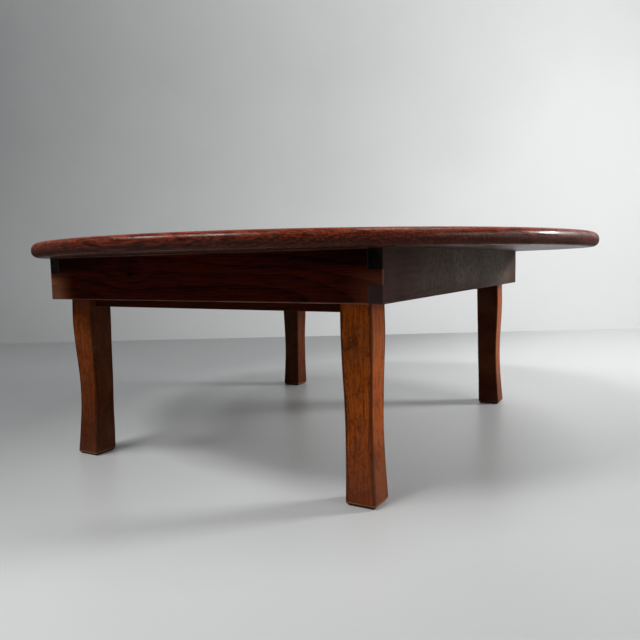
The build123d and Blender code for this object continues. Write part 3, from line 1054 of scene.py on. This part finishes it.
# ---------------------------------------------------------------- the round top
@dataclass
class RoundTop:
    """The disc of edge-glued boards with its bullnose rim."""

    boards: int = 5
    radius: float = 399.96 * MM
    upper_rounding: float = 8.5 * MM
    lower_rounding: float = 8.0 * MM
    rounding_steps: int = 10
    around: int = 720
    top_gap: float = 0.01 * MM
    dent_depth: float = 0.25 * MM
    dent_size: float = 34.0
    seam_ease: float = 0.12 * MM
    unevenness: float = 0.35
    seed: int = 7
    first_board_seed: int = 41
    finish: TopFinish = TOP_LACQUER

    def disc_tree(self, material: bpy.types.Material) -> NodeSheet:
        """A tree that turns a bullnose profile about the upright axis and dents its rim.

        Args:
            material: The finish of the disc.

        Returns:
            The tree's sheet.
        """
        sheet, into = geometry_tree("bullnose_disc", {
            "Radius": 0.4, "Top": 0.285, "Underside": 0.267, "Upper Rounding": 0.0085,
            "Lower Rounding": 0.008, "Rounding Steps": 8, "Around": 512, "Dent Depth": 0.0002,
            "Dent Size": 30.0,
        })
        profile = sheet.add("GeometryNodeCurvePrimitiveQuadrilateral", {
            "Point 1": sheet.join(0.0, into["Underside"], 0.0),
            "Point 2": sheet.join(into["Radius"], into["Underside"], 0.0),
            "Point 3": sheet.join(into["Radius"], into["Top"], 0.0),
            "Point 4": sheet.join(0.0, into["Top"], 0.0),
        }, mode="POINTS").outputs[0]
        opened = sheet.add("GeometryNodeSetSplineCyclic", {0: profile, 2: False}).outputs[0]
        index = sheet.add("GeometryNodeInputIndex").outputs[0]
        is_lower, is_upper = (sheet.math("COMPARE", index, corner, 0.1) for corner in (1.0, 2.0))
        corner = sheet.lift(is_upper, into["Upper Rounding"], sheet.times(is_lower, into["Lower Rounding"]))
        rounded = sheet.add("GeometryNodeFilletCurve", {
            "Curve": opened, "Count": into["Rounding Steps"], "Radius": corner,
        }, mode="POLY").outputs[0]
        size = sheet.add("GeometryNodeAttributeDomainSize", {0: rounded}, component="CURVE")
        count = size.outputs["Point Count"]
        width = sheet.math("SUBTRACT", count, 1.0)
        grid = sheet.add("GeometryNodeMeshGrid", {
            "Size X": width, "Size Y": into["Around"], "Vertices X": count,
            "Vertices Y": sheet.plus(into["Around"], 1.0),
        }).outputs[0]

        position = sheet.add("GeometryNodeInputPosition").outputs[0]
        column, row, _ = sheet.split(position)
        column = sheet.math("ROUND", sheet.lift(width, 0.5, column))
        sampled = sheet.add("GeometryNodeSampleIndex", {
            "Geometry": rounded, "Value": position, "Index": column,
        }, data_type="FLOAT_VECTOR", domain="POINT").outputs[0]
        reach, height, _ = sheet.split(sampled)
        angle = sheet.times(sheet.math("DIVIDE", row, into["Around"]), tau)
        out_x, out_y = sheet.math("COSINE", angle), sheet.math("SINE", angle)
        place = sheet.join(sheet.times(reach, out_x), sheet.times(reach, out_y), height)

        middle = sheet.times(sheet.plus(into["Top"], into["Underside"]), 0.5)
        hub = sheet.math("SUBTRACT", into["Radius"], into["Lower Rounding"])
        outward, upward = sheet.math("SUBTRACT", reach, hub), sheet.math("SUBTRACT", height, middle)
        way = sheet.join(sheet.times(outward, out_x), sheet.times(outward, out_y), upward)
        on_rim = sheet.ramp(reach, hub, sheet.lift(into["Lower Rounding"], 0.7, hub))
        spots = sheet.noise(sheet.scaled(place, into["Dent Size"]), Spots(1.0, 1.0, 1.0))
        dent = sheet.times(sheet.ramp(spots, 0.35, 0.75), into["Dent Depth"], on_rim, -1.0)
        shaped = sheet.add("GeometryNodeSetPosition", {
            "Geometry": grid, "Position": place, "Offset": sheet.scaled(sheet.vector("NORMALIZE", way), dent),
        }).outputs[0]
        closed = sheet.add("GeometryNodeMergeByDistance", {"Geometry": shaped, "Distance": 10 * WELD})
        return finish_tree(sheet, closed.outputs[0], material)

    def saw(self, disc: bpy.types.Mesh, low: float, high: float, name: str) -> bpy.types.Mesh:
        """Saws one board out of the disc and eases its two long edges.

        Args:
            disc: The whole disc.
            low: The y of its lower seam.
            high: The y of its upper seam.
            name: The mesh's name.

        Returns:
            The board.
        """
        shape = bmesh.new()
        shape.from_mesh(disc)
        capped = []
        for height, way in ((low, -1.0), (high, 1.0)):
            if abs(height) > self.radius - MM:
                continue
            every = shape.verts[:] + shape.edges[:] + shape.faces[:]
            cut = bmesh.ops.bisect_plane(
                shape, geom=every, plane_co=(0.0, height, 0.0), plane_no=(0.0, way, 0.0), clear_outer=True,
            )["geom_cut"]
            rim = [item for item in cut if isinstance(item, bmesh.types.BMEdge)]
            capped += bmesh.ops.holes_fill(shape, edges=rim, sides=0)["faces"]
        turned_outwards(shape)
        rims = {edge for face in capped for edge in face.edges}
        bmesh.ops.bevel(
            shape, geom=list(rims), offset=self.seam_ease, segments=1, affect="EDGES", clamp_overlap=True,
        )
        return evenly_shaded(mesh_from(shape, name, 30.0))

    def build(self) -> None:
        """Builds and dresses the boards."""
        low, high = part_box("top_board_1")
        whole = self.finish.material("top_lacquer_disc", low, high, Grain.X, 1)
        disc = grow("round_top", bpy.data.meshes.new("round_top_seed"), self.disc_tree(whole), {
            "Radius": self.radius, "Top": high.z - self.top_gap, "Underside": low.z,
            "Upper Rounding": self.upper_rounding, "Lower Rounding": self.lower_rounding,
            "Rounding Steps": self.rounding_steps, "Around": self.around,
            "Dent Depth": self.dent_depth, "Dent Size": self.dent_size,
        })
        lot = Random(self.seed)
        for k in range(self.boards):
            node = f"top_board_{k + 1}"
            low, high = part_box(node)
            piece = new_thing(f"plank_{k + 1}", self.saw(disc, low.y, high.y, node + "_plank"))
            shade = 1.0 + lot.uniform(-self.unevenness, self.unevenness)
            finish = replace(self.finish, light=tuple(shade * part for part in self.finish.light))
            seed = self.first_board_seed + k
            paint(piece, finish.material(f"top_lacquer_{k + 1}", low, high, Grain.X, seed))
            stand_for(piece, node)
        bpy.data.meshes.remove(disc)


# ---------------------------------------------------------------- apron and inner frame
@dataclass
class UnderFrame:
    """The four finger-jointed boards under the top, the crossbar and the two cleats."""

    side_finishes: tuple[ApronFinish, ApronFinish] = (APRON_LEFT_LACQUER, APRON_SIDE_LACQUER)
    end_finish: ApronFinish = APRON_END_LACQUER
    inner_finish: WoodFinish = INNER_WOOD
    side_seed: int = 11
    end_seed: int = 23
    bar_seed: int = 31
    cleat_seed: int = 33
    cleat_sharp_degrees: float = 30.0

    def build(self) -> None:
        """Builds and dresses the boards, the crossbar and the cleats."""
        for hand, finish in zip(Hand, self.side_finishes):
            EasedBoard(f"apron_side_{hand.word}", finish, Grain.Y, self.side_seed + hand.value).build()
        for end in End:
            EasedBoard(f"apron_end_{end.word}", self.end_finish, Grain.X, self.end_seed + end.value).build()
        EasedBoard("crossbar", self.inner_finish, Grain.X, self.bar_seed).build()
        for end in End:
            EasedBoard(f"end_cleat_{end.word}", self.inner_finish, Grain.X, self.cleat_seed + end.value,
                       sharp_degrees=self.cleat_sharp_degrees).build()


# ---------------------------------------------------------------- legs
@dataclass(frozen=True)
class Section:
    """A leg's level cut: its height and where its four faces stand."""

    height: float
    low: Vector
    high: Vector


@dataclass
class SawnLeg:
    """A leg sawn to a gentle S, its corners rounded by wear."""

    end: End
    hand: Hand
    finish: LegFinish = LEG_LACQUER
    head_radius: float = 17.0 * MM
    crown_steps: int = 16
    crown_turn: float = 87.0
    chamfer: float = 2.5 * MM
    chamfer_edge: float = 0.4 * MM
    past_bore: float = 8 * MM
    sole_gap: float = 0.02 * MM
    crown_gap: float = 0.01 * MM
    step: float = 3.0 * MM
    least_round: float = 0.6 * MM
    most_round: float = 1.7 * MM
    round_steps: int = 4
    hollow: float = 0.16 * MM
    hollow_run: float = 6 * MM
    wear_reach: float = 3.2 * MM
    face_places: tuple[float, ...] = (0.4, 0.5, 0.6)
    seed: int = 60

    @property
    def node(self) -> str:
        """The leg's node."""
        return f"leg_{self.end.word}_{self.hand.word}"

    def heights(self, low: float, high: float) -> list[float]:
        """The heights of the leg's level cuts, from sole to crown.

        Args:
            low: The height of the sole.
            high: The height of the crown.

        Returns:
            The heights in order.
        """
        pivot = high - self.head_radius
        bevel = low + self.chamfer
        foot = [low, low + 0.5 * self.chamfer, bevel - self.chamfer_edge, bevel + self.chamfer_edge]
        count = round((pivot - foot[-1]) / self.step)
        shaft = [foot[-1] + (pivot - foot[-1]) * k / count for k in range(1, count + 1)]
        turns = (radians(self.crown_turn) * k / self.crown_steps for k in range(1, self.crown_steps + 1))
        return foot + shaft + [pivot + self.head_radius * sin(turn) for turn in turns]

    def sections(self) -> list[Section]:
        """Feels for the solid's four faces at every height.

        Returns:
            The level cuts from sole to crown.
        """
        shape = welded(self.node)
        tree = BVHTree.FromBMesh(shape)
        shape.free()
        low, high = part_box(self.node)
        pivot = high.z - self.head_radius

        def feel(x: float, y: float, z: float, axis: int) -> tuple[float, float]:
            """Where the two faces stand that lines from outside meet first, along an axis."""
            met = []
            for sign, outside in ((1, low[axis] - 0.1), (-1, high[axis] + 0.1)):
                start, way = Vector((x, y, z)), Vector(ORIGIN)
                start[axis], way[axis] = outside, sign
                met.append(tree.ray_cast(start, way)[0][axis])
            return met[0], met[1]

        middle = (low + high) / 2
        y = sum(feel(middle.x, middle.y, pivot, 1)) / 2 + self.past_bore
        cuts = []
        for z in self.heights(low.z, high.z):
            seen = min(max(z, low.z + self.sole_gap), high.z - self.crown_gap)
            sides = feel(middle.x, y, min(seen, pivot), 0), feel(middle.x, y, seen, 1)
            cuts.append(Section(z, *(Vector(corner) for corner in zip(*sides))))
        return cuts

    def outline(self, cut: Section) -> list[tuple[Vector, float]]:
        """The worn outline of one level cut.

        Args:
            cut: The level cut.

        Returns:
            Each point with its share of edge wear, in order round the leg.
        """
        centre, half = (cut.low + cut.high) / 2, (cut.high - cut.low) / 2
        points = []
        for quarter, (sx, sy) in enumerate(((1, 1), (-1, 1), (-1, -1), (1, -1))):
            feel = noise.noise(Vector((cut.height * 24, quarter * 7.3, self.end.value + 3 * self.hand.value)))
            share = min(max(0.5 + feel, 0.0), 1.0)
            rounding = self.least_round + (self.most_round - self.least_round) * share
            rounding = min(rounding, 0.45 * half.x, 0.45 * half.y)
            inner = Vector((centre.x + sx * (half.x - rounding), centre.y + sy * (half.y - rounding)))
            for k in range(self.round_steps + 1):
                angle = (quarter + k / self.round_steps) * pi / 2
                spot = inner + rounding * Vector((cos(angle), sin(angle)))
                points.append((Vector((spot.x, spot.y, cut.height)), 1.0))
            points += self.side_points(points[-1][0], quarter, centre, half, rounding)
        return points

    def side_points(self, last: Vector, quarter: int, centre: Vector, half: Vector,
                    rounding: float) -> list[tuple[Vector, float]]:
        """The points of one face between two worn corners, hollowed a little.

        Args:
            last: The end of the corner before it.
            quarter: Which corner that was.
            centre: The middle of the level cut.
            half: Half of its size.
            rounding: The radius of the corner.

        Returns:
            The points with their edge wear.
        """
        axis = quarter % 2
        other = 1 - axis
        sign = -1 if quarter < 2 else 1
        out = 1 if last[other] > centre[other] else -1
        room = 2 * (half[axis] - rounding)
        places = [min(self.wear_reach * 0.4, room * 0.15), min(self.wear_reach, room * 0.3)]
        places += [room * share for share in self.face_places] + [room - d for d in reversed(places)]
        points = []
        for place in places:
            spot = last.copy()
            spot[axis] += sign * place
            inset = min(place, room - place)
            dip = self.hollow * (0.5 + 0.5 * noise.noise(spot * 22)) * min(1.0, inset / self.hollow_run)
            spot[other] -= out * dip
            points.append((spot, 0.85 * max(0.0, 1.0 - inset / self.wear_reach)))
        return points

    def inwardness(self, cut: Section, point: Vector) -> float:
        """How much painted shade a point gets: whether it is on one of the two faces that look to the table's
        middle.

        Args:
            cut: The point's level cut.
            point: The point.

        Returns:
            1 on the one that looks along y, 0.7 on the one that looks along x, 0 elsewhere.
        """
        in_x, out_x = (cut.high.x, cut.low.x) if self.hand is Hand.LEFT else (cut.low.x, cut.high.x)
        in_y, out_y = (cut.high.y, cut.low.y) if self.end is End.FRONT else (cut.low.y, cut.high.y)
        outward = min(abs(point.x - out_x), abs(point.y - out_y), self.least_round)
        if abs(point.y - in_y) < outward:
            return 1.0
        return 0.7 if abs(point.x - in_x) < outward else 0.0

    def build(self) -> None:
        """Builds and dresses the leg."""
        shape = bmesh.new()
        wear = shape.verts.layers.float.new("edge")
        # The inner layer holds each point's share of painted shade.
        inward_shade = shape.verts.layers.float.new("inner")
        rings = []
        for cut in self.sections():
            ring = []
            for point, edge in self.outline(cut):
                vertex = shape.verts.new(point)
                vertex[wear], vertex[inward_shade] = edge, self.inwardness(cut, point)
                ring.append(vertex)
            rings.append(ring)
        bridge(shape, rings, len(rings[0]))
        shape.faces.new(list(reversed(rings[0])))
        shape.faces.new(rings[-1])
        turned_outwards(shape)
        piece = new_thing(f"sawn_{self.node}", mesh_from(shape, self.node + "_sawn", 40.0))
        low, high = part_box(self.node)
        seed = self.seed + 5 * self.end.value + self.hand.value
        label = f"leg_lacquer_{self.end.word}_{self.hand.word}"
        paint(piece, self.finish.material(label, low, high, Grain.Z, seed))
        stand_for(piece, self.node)


@dataclass
class LegPair:
    """Two legs, the rail between them, its pegs, and the stay with its keeper."""

    end: End
    peg_radius: float = 2.95 * MM
    peg_tip: float = 0.82
    peg_bevel: float = 0.35 * MM
    peg_stand: float = 0.3 * MM
    peg_inset: float = 3 * MM
    peg_around: int = 20
    peg_seed: int = 70
    rail_seed: int = 80
    keeper_seed: int = 84
    stay_seed: int = 90
    keeper_sharp_degrees: float = 30.0
    leg_finish: LegFinish = LEG_LACQUER
    dark_finish: LegFinish = SHADED_LEG_LACQUER
    rail_finish: WoodFinish = RAIL_LACQUER
    small_finish: WoodFinish = DOWEL_WOOD
    stay_finish: WoodFinish = STAY_WOOD

    def pegs(self) -> None:
        """The pegs of the rail's tenons, whose ends stand a hair above the legs."""
        node = f"rail_pegs_{self.end.word}"
        low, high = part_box(node)
        length = high.y - low.y
        tip = -self.peg_stand
        whole = bmesh.new()
        for hand in Hand:
            peg = lathe([
                (0.0, tip), (self.peg_radius * self.peg_tip, tip), (self.peg_radius, tip + self.peg_bevel),
                (self.peg_radius, length), (0.0, length),
            ], self.peg_around)
            turn = Matrix.Rotation(-self.end.value * pi / 2, 4, "X")
            inner = low.y if self.end is End.BACK else high.y
            spot = Vector((hand.value * (high.x - self.peg_inset), inner, (low.z + high.z) / 2))
            bmesh.ops.transform(peg, matrix=Matrix.Translation(spot) @ turn, verts=peg.verts)
            mesh = mesh_from(peg, "peg")
            whole.from_mesh(mesh)
            bpy.data.meshes.remove(mesh)
        piece = new_thing(f"proud_{node}", mesh_from(whole, node + "_proud"))
        seed = self.peg_seed + self.end.value
        paint(piece, self.small_finish.material(f"dowel_wood_{node}", low, high, Grain.Y, seed))
        stand_for(piece, node)

    def build(self) -> None:
        """Builds and dresses the pair."""
        word, sign = self.end.word, self.end.value
        for hand in Hand:
            # The front left leg takes the darker copy as painted shade.
            finish = self.dark_finish if (self.end, hand) == (End.FRONT, Hand.LEFT) else self.leg_finish
            SawnLeg(self.end, hand, finish).build()
        EasedBoard(f"rail_{word}", self.rail_finish, Grain.X, self.rail_seed + sign).build()
        EasedBoard(f"stay_keeper_{word}", self.small_finish, Grain.X, self.keeper_seed + sign,
                   sharp_degrees=self.keeper_sharp_degrees).build()
        self.pegs()
        EasedBoard(f"stay_{word}", self.stay_finish, Grain.Y, self.stay_seed + sign).build()


# ---------------------------------------------------------------- screws
@dataclass
class ScrewSet:
    """A group of slotted wood screws, stood where the solids stand."""

    node: str
    seed: int
    head_radius: float = 4.0 * MM
    head_height: float = 2.6 * MM
    shank_radius: float = 2.0 * MM
    slot_width: float = 1.1 * MM
    dome_steps: int = 7
    seat: float = 0.15 * MM
    around: int = 28

    def spots(self) -> list[tuple[Vector, Vector]]:
        """The box of every screw in the group.

        Returns:
            The lowest and highest corner of each.
        """
        shape = welded(self.node)
        left, boxes = set(shape.verts), []
        while left:
            island, fringe = set(), [left.pop()]
            while fringe:
                vertex = fringe.pop()
                island.add(vertex)
                near = {edge.other_vert(vertex) for edge in vertex.link_edges} & left
                left -= near
                fringe += near
            axes = list(zip(*(vertex.co for vertex in island)))
            boxes.append((Vector([min(axis) for axis in axes]), Vector([max(axis) for axis in axes])))
        shape.free()
        return boxes

    def pattern(self, length: float) -> bpy.types.Object:
        """One screw, point up, its head's seat at the origin.

        Args:
            length: From the seat to the point.

        Returns:
            The screw as an object to copy.
        """
        bulge = (self.head_radius ** 2 + self.head_height ** 2) / (2 * self.head_height)
        spread = asin(min(1.0, self.head_radius / bulge))
        turns = [spread * k / self.dome_steps for k in range(self.dome_steps + 1)]
        dome = [(bulge * sin(turn), -self.head_height + bulge * (1 - cos(turn))) for turn in turns]
        neck = length - 2.2 * self.shank_radius
        shank = [(self.shank_radius, 0.0), (self.shank_radius * 0.95, neck), (0.0, length)]
        shank = [(radius, z + self.seat) for radius, z in shank]
        shape = lathe(dome + [(self.head_radius, self.seat)] + shank, self.around)
        for way in (-1.0, 1.0):
            every = shape.verts[:] + shape.edges[:] + shape.faces[:]
            bmesh.ops.bisect_plane(shape, geom=every, plane_co=(0.0, way * self.slot_width / 2, 0.0),
                                   plane_no=(0.0, 1.0, 0.0), dist=WELD)
        floor = -self.head_height / 2
        strip = [face for face in shape.faces if abs(face.calc_center_median().y) < self.slot_width / 2
                 and all(vertex.co.z < floor + 0.6 * MM for vertex in face.verts)]
        made = bmesh.ops.extrude_face_region(shape, geom=strip)["geom"]
        bmesh.ops.delete(shape, geom=strip, context="FACES_ONLY")
        for vertex in (item for item in made if isinstance(item, bmesh.types.BMVert)):
            vertex.co.z = max(vertex.co.z, floor)
        bmesh.ops.remove_doubles(shape, verts=shape.verts, dist=2 * WELD)
        turned_outwards(shape)
        name = self.node + "_pattern"
        return new_thing(name, mesh_from(shape, name, 32.0))

    def tree(self, material: bpy.types.Material) -> NodeSheet:
        """A tree that stands a screw on every point, each turned by its own angle.

        Args:
            material: The finish of the screws.

        Returns:
            The tree's sheet.
        """
        sheet, into = geometry_tree(self.node + "_layout", {"Screw": None, "Seed": 1})
        points = sheet.add("GeometryNodeMeshToPoints", {"Mesh": into["Geometry"]}).outputs[0]
        screw = sheet.add("GeometryNodeObjectInfo", {"Object": into["Screw"]}).outputs["Geometry"]
        lot = sheet.add("FunctionNodeRandomValue", {2: 0.0, 3: pi, "Seed": into["Seed"]}, data_type="FLOAT")
        turn = sheet.add("FunctionNodeEulerToRotation", {0: sheet.join(0.0, 0.0, lot.outputs[1])}).outputs[0]
        stood = sheet.add("GeometryNodeInstanceOnPoints", {
            "Points": points, "Instance": screw, "Rotation": turn,
        })
        return finish_tree(sheet, stood.outputs[0], material)

    def build(self, material: bpy.types.Material) -> None:
        """Builds and dresses the group.

        Args:
            material: The screws' steel.
        """
        boxes = self.spots()
        length = boxes[0][1].z - boxes[0][0].z - self.head_height
        seats = [
            ((low.x + high.x) / 2, (low.y + high.y) / 2, low.z + self.head_height) for low, high in boxes
        ]
        seedling = bpy.data.meshes.new(self.node + "_seats")
        seedling.from_pydata(seats, [], [])
        pattern = self.pattern(length)
        values = {"Screw": pattern, "Seed": self.seed}
        mesh = grow(self.node + "_slotted", seedling, self.tree(material), values)
        bpy.data.objects.remove(pattern)
        stand_for(new_thing(f"slotted_{self.node}", mesh), self.node)


@dataclass
class Fastenings:
    """All the screws, and the small turned parts that keep their solids."""

    steel: SteelFinish = SteelFinish()
    first_screw_seed: int = 5
    stay_screw_seed: int = 9
    first_small_seed: int = 95

    def build(self) -> None:
        """Builds the screws and dresses the pins, spacers, washers and dowels."""
        material = self.steel.material()
        nodes = ("cleat_screws", "crossbar_screws", "side_screws")
        for seed, node in enumerate(nodes, self.first_screw_seed):
            ScrewSet(node, seed).build(material)
        ScrewSet("stay_screws", self.stay_screw_seed, head_radius=5 * MM, head_height=3.4 * MM,
                 shank_radius=2.5 * MM).build(material)
        paint(frame["nodes"]["stay_washers"], material)
        small = (("pivot_pins", PIN_WOOD, Grain.X), ("pivot_spacers", DOWEL_WOOD, Grain.X),
                 ("top_dowels", DOWEL_WOOD, Grain.Y))
        for seed, (node, wood, grain) in enumerate(small, self.first_small_seed):
            low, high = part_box(node)
            paint(frame["nodes"][node], wood.material(f"{wood.name}_{node}", low, high, grain, seed))
            LOG.info("%s keeps its solid", node)


# ---------------------------------------------------------------- studio
@dataclass(frozen=True)
class SoftBox:
    """A soft white lamp: where it hangs, what it looks at, its size and its power."""

    name: str
    place: Triple
    aim: Triple
    size: tuple[float, float]
    power: float

    def hang(self) -> None:
        """Hangs the lamp."""
        lamp = bpy.data.lights.new(self.name, "AREA")
        lamp.shape = "RECTANGLE"
        lamp.size, lamp.size_y = self.size
        lamp.energy = self.power
        holder = new_thing(self.name, lamp)
        holder.location = self.place
        way = Vector(self.aim) - Vector(self.place)
        holder.rotation_euler = way.to_track_quat("-Z", "Y").to_euler()
        holder.visible_camera = False


PAINT_CLOUDS = Spots(3.0, 3.0, 3.0, 4.0, 0.6)
PAINT_GRAIN = Spots(160.0, 160.0, 160.0, 3.0)


@dataclass(frozen=True)
class StagePaint:
    """A pale paint of the room with painted light and shade: it grows lighter along a line, may glow low down
    with painted light bounced from the floor, and isn't there from behind.
    """

    name: str
    near: Colour
    far: Colour
    way: Triple
    start: float
    end: float
    roughness: float
    foot_glow: float = 0.0
    foot_height: float = 0.97
    beyond: float = 9.0
    beyond_run: float = 0.95
    relief: float = 0.05 * MM

    def material(self) -> bpy.types.Material:
        """Writes the paint.

        Returns:
            The new material.
        """
        material, sheet, place = blank_sheet(self.name)
        along = sheet.dot(place, self.way)
        # The ramp along the way, the glow low down and the fall-off beyond are painted light and shade.
        glow = sheet.ramp(sheet.split(place)[2], self.foot_height, 0.0, 0.0, self.foot_glow)
        share = sheet.plus(sheet.ramp(along, self.start, self.end), glow)
        share = sheet.times(share, sheet.ramp(along, self.beyond, self.beyond + self.beyond_run, 1.0, 0.0))
        cloud = sheet.math("SUBTRACT", sheet.noise(place, PAINT_CLOUDS), 0.5)
        share = sheet.lift(cloud, 0.12, share, clamp=True)
        surface = sheet.principled({
            "Base Color": sheet.blend(share, rgba(self.near), rgba(self.far)),
            "Roughness": sheet.lift(cloud, 0.1, self.roughness),
            "Normal": sheet.bump(sheet.noise(place, PAINT_GRAIN), self.relief),
        })
        clear = sheet.add("ShaderNodeBsdfTransparent").outputs[0]
        behind = sheet.add("ShaderNodeNewGeometry").outputs["Backfacing"]
        sheet.show(sheet.add("ShaderNodeMixShader", {0: behind, 1: surface, 2: clear}).outputs[0])
        return material


# Painted light and shade: the floor is dark to the left, lightest around the table, and dims again far to the
# right.
FLOOR_PAINT = StagePaint(
    "floor_paint", (0.265, 0.272, 0.276), (0.61, 0.62, 0.62), (0.983, -0.181, 0.0), -0.62, 0.03, 0.36,
    beyond=0.08,
)
# Painted light: the wall grows lighter to the right, with a painted glow of light bounced from the floor low
# down.
WALL_PAINT = StagePaint(
    "wall_paint", (0.12, 0.125, 0.128), (0.705, 0.715, 0.715), (1.0, 0.0, 0.0), -1.9, 1.3, 0.8, 0.235)
LAMPS = (
    SoftBox("front_window", (-0.55, -1.7, 2.5), (0.0, 0.0, 0.1), (0.75, 0.5), 38.0),
    SoftBox("left_window", (-1.25, -1.25, 1.85), (0.0, -0.3, 0.2), (0.7, 0.3), 14.0),
    SoftBox("back_window", (1.5, 1.0, 0.93), (0.2, -0.1, 0.2), (0.42, 0.36), 25.0),
    SoftBox("side_window", (2.1, -0.3, 0.7), (0.0, 0.0, 0.1), (0.9, 0.7), 8.5),
    SoftBox("ceiling_window", (0.7, 0.35, 2.3), (0.1, 0.0, 0.2), (0.9, 0.9), 14.0),
)


@dataclass
class Studio:
    """The floor, the wall, the lamps and the camera."""

    wall_left: tuple[float, float] = (-1.523, 0.454)
    wall_right: tuple[float, float] = (0.396, 1.608)
    reach: float = 7.0
    wall_height: float = 4.0
    floor_level: float = -0.15 * MM
    glow: float = 0.09
    camera_place: Triple = (0.47507, -0.83005, 0.25232)
    camera_angles: Triple = (29.53, 5.26, -1.17)
    lens: float = 34.51
    sensor: float = 36.0
    sight: tuple[float, float] = (0.01, 40.0)

    def lay(self, name: str, corners: Sequence[Vector], finish: StagePaint) -> None:
        """Lays a flat sheet of the room.

        Args:
            name: The sheet's name.
            corners: Its corners, anticlockwise from its good side.
            finish: Its paint.
        """
        mesh = bpy.data.meshes.new(name)
        mesh.from_pydata([tuple(corner) for corner in corners], [], [tuple(range(len(corners)))])
        thing = new_thing(name, mesh)
        paint(thing, finish.material())

    def room(self) -> None:
        """Builds the floor and the wall."""
        left, right = (Vector((*spot, self.floor_level)) for spot in (self.wall_left, self.wall_right))
        way = (right - left).normalized()
        middle = (left + right) / 2
        forward = Vector((way.y, -way.x, 0.0)) * self.reach
        up = Vector((0.0, 0.0, self.wall_height))
        a, b = middle - way * self.reach, middle + way * self.reach
        self.lay("floor", (a, a + forward, b + forward, b), FLOOR_PAINT)
        self.lay("wall", (a, b, b + up, a + up), replace(WALL_PAINT, way=tuple(way)))

    def light(self) -> None:
        """Hangs the lamps and sets the room's own glow."""
        for lamp in LAMPS:
            lamp.hang()
        world = bpy.data.worlds.new("room_glow")
        bpy.context.scene.world = world
        world.use_nodes = True
        world.node_tree.nodes.clear()
        sheet = NodeSheet(world.node_tree)
        glow = sheet.add("ShaderNodeBackground", {"Color": (1.0, 1.0, 1.0, 1.0), "Strength": self.glow})
        sheet.add("ShaderNodeOutputWorld", {"Surface": glow.outputs[0]})

    def camera(self) -> None:
        """Stands the camera, turned by its azimuth, its pitch and its roll."""
        azimuth, pitch, roll = (radians(angle) for angle in self.camera_angles)
        forward = Vector((-sin(azimuth) * cos(pitch), cos(azimuth) * cos(pitch), -sin(pitch)))
        level = Vector((cos(azimuth), sin(azimuth), 0.0))
        upright = level.cross(forward)
        right = cos(roll) * level + sin(roll) * upright
        up = -sin(roll) * level + cos(roll) * upright
        data = bpy.data.cameras.new("camera")
        data.lens, data.sensor_width = self.lens, self.sensor
        data.clip_start, data.clip_end = self.sight
        camera = new_thing("camera", data)
        turn = Matrix((right, up, -forward)).transposed().to_4x4()
        camera.matrix_world = Matrix.Translation(Vector(self.camera_place)) @ turn
        bpy.context.scene.camera = camera

    def build(self) -> None:
        """Builds the studio."""
        self.camera()
        self.room()
        self.light()
        bpy.context.scene.view_settings.view_transform = "Standard"


def main() -> None:
    """Builds the studio and then the table, piece by piece."""
    logging.basicConfig(level=logging.INFO, format="%(message)s")
    Studio().build()
    RoundTop().build()
    UnderFrame().build()
    for end in End:
        LegPair(end).build()
    Fastenings().build()


if __name__ == "__main__":
    main()
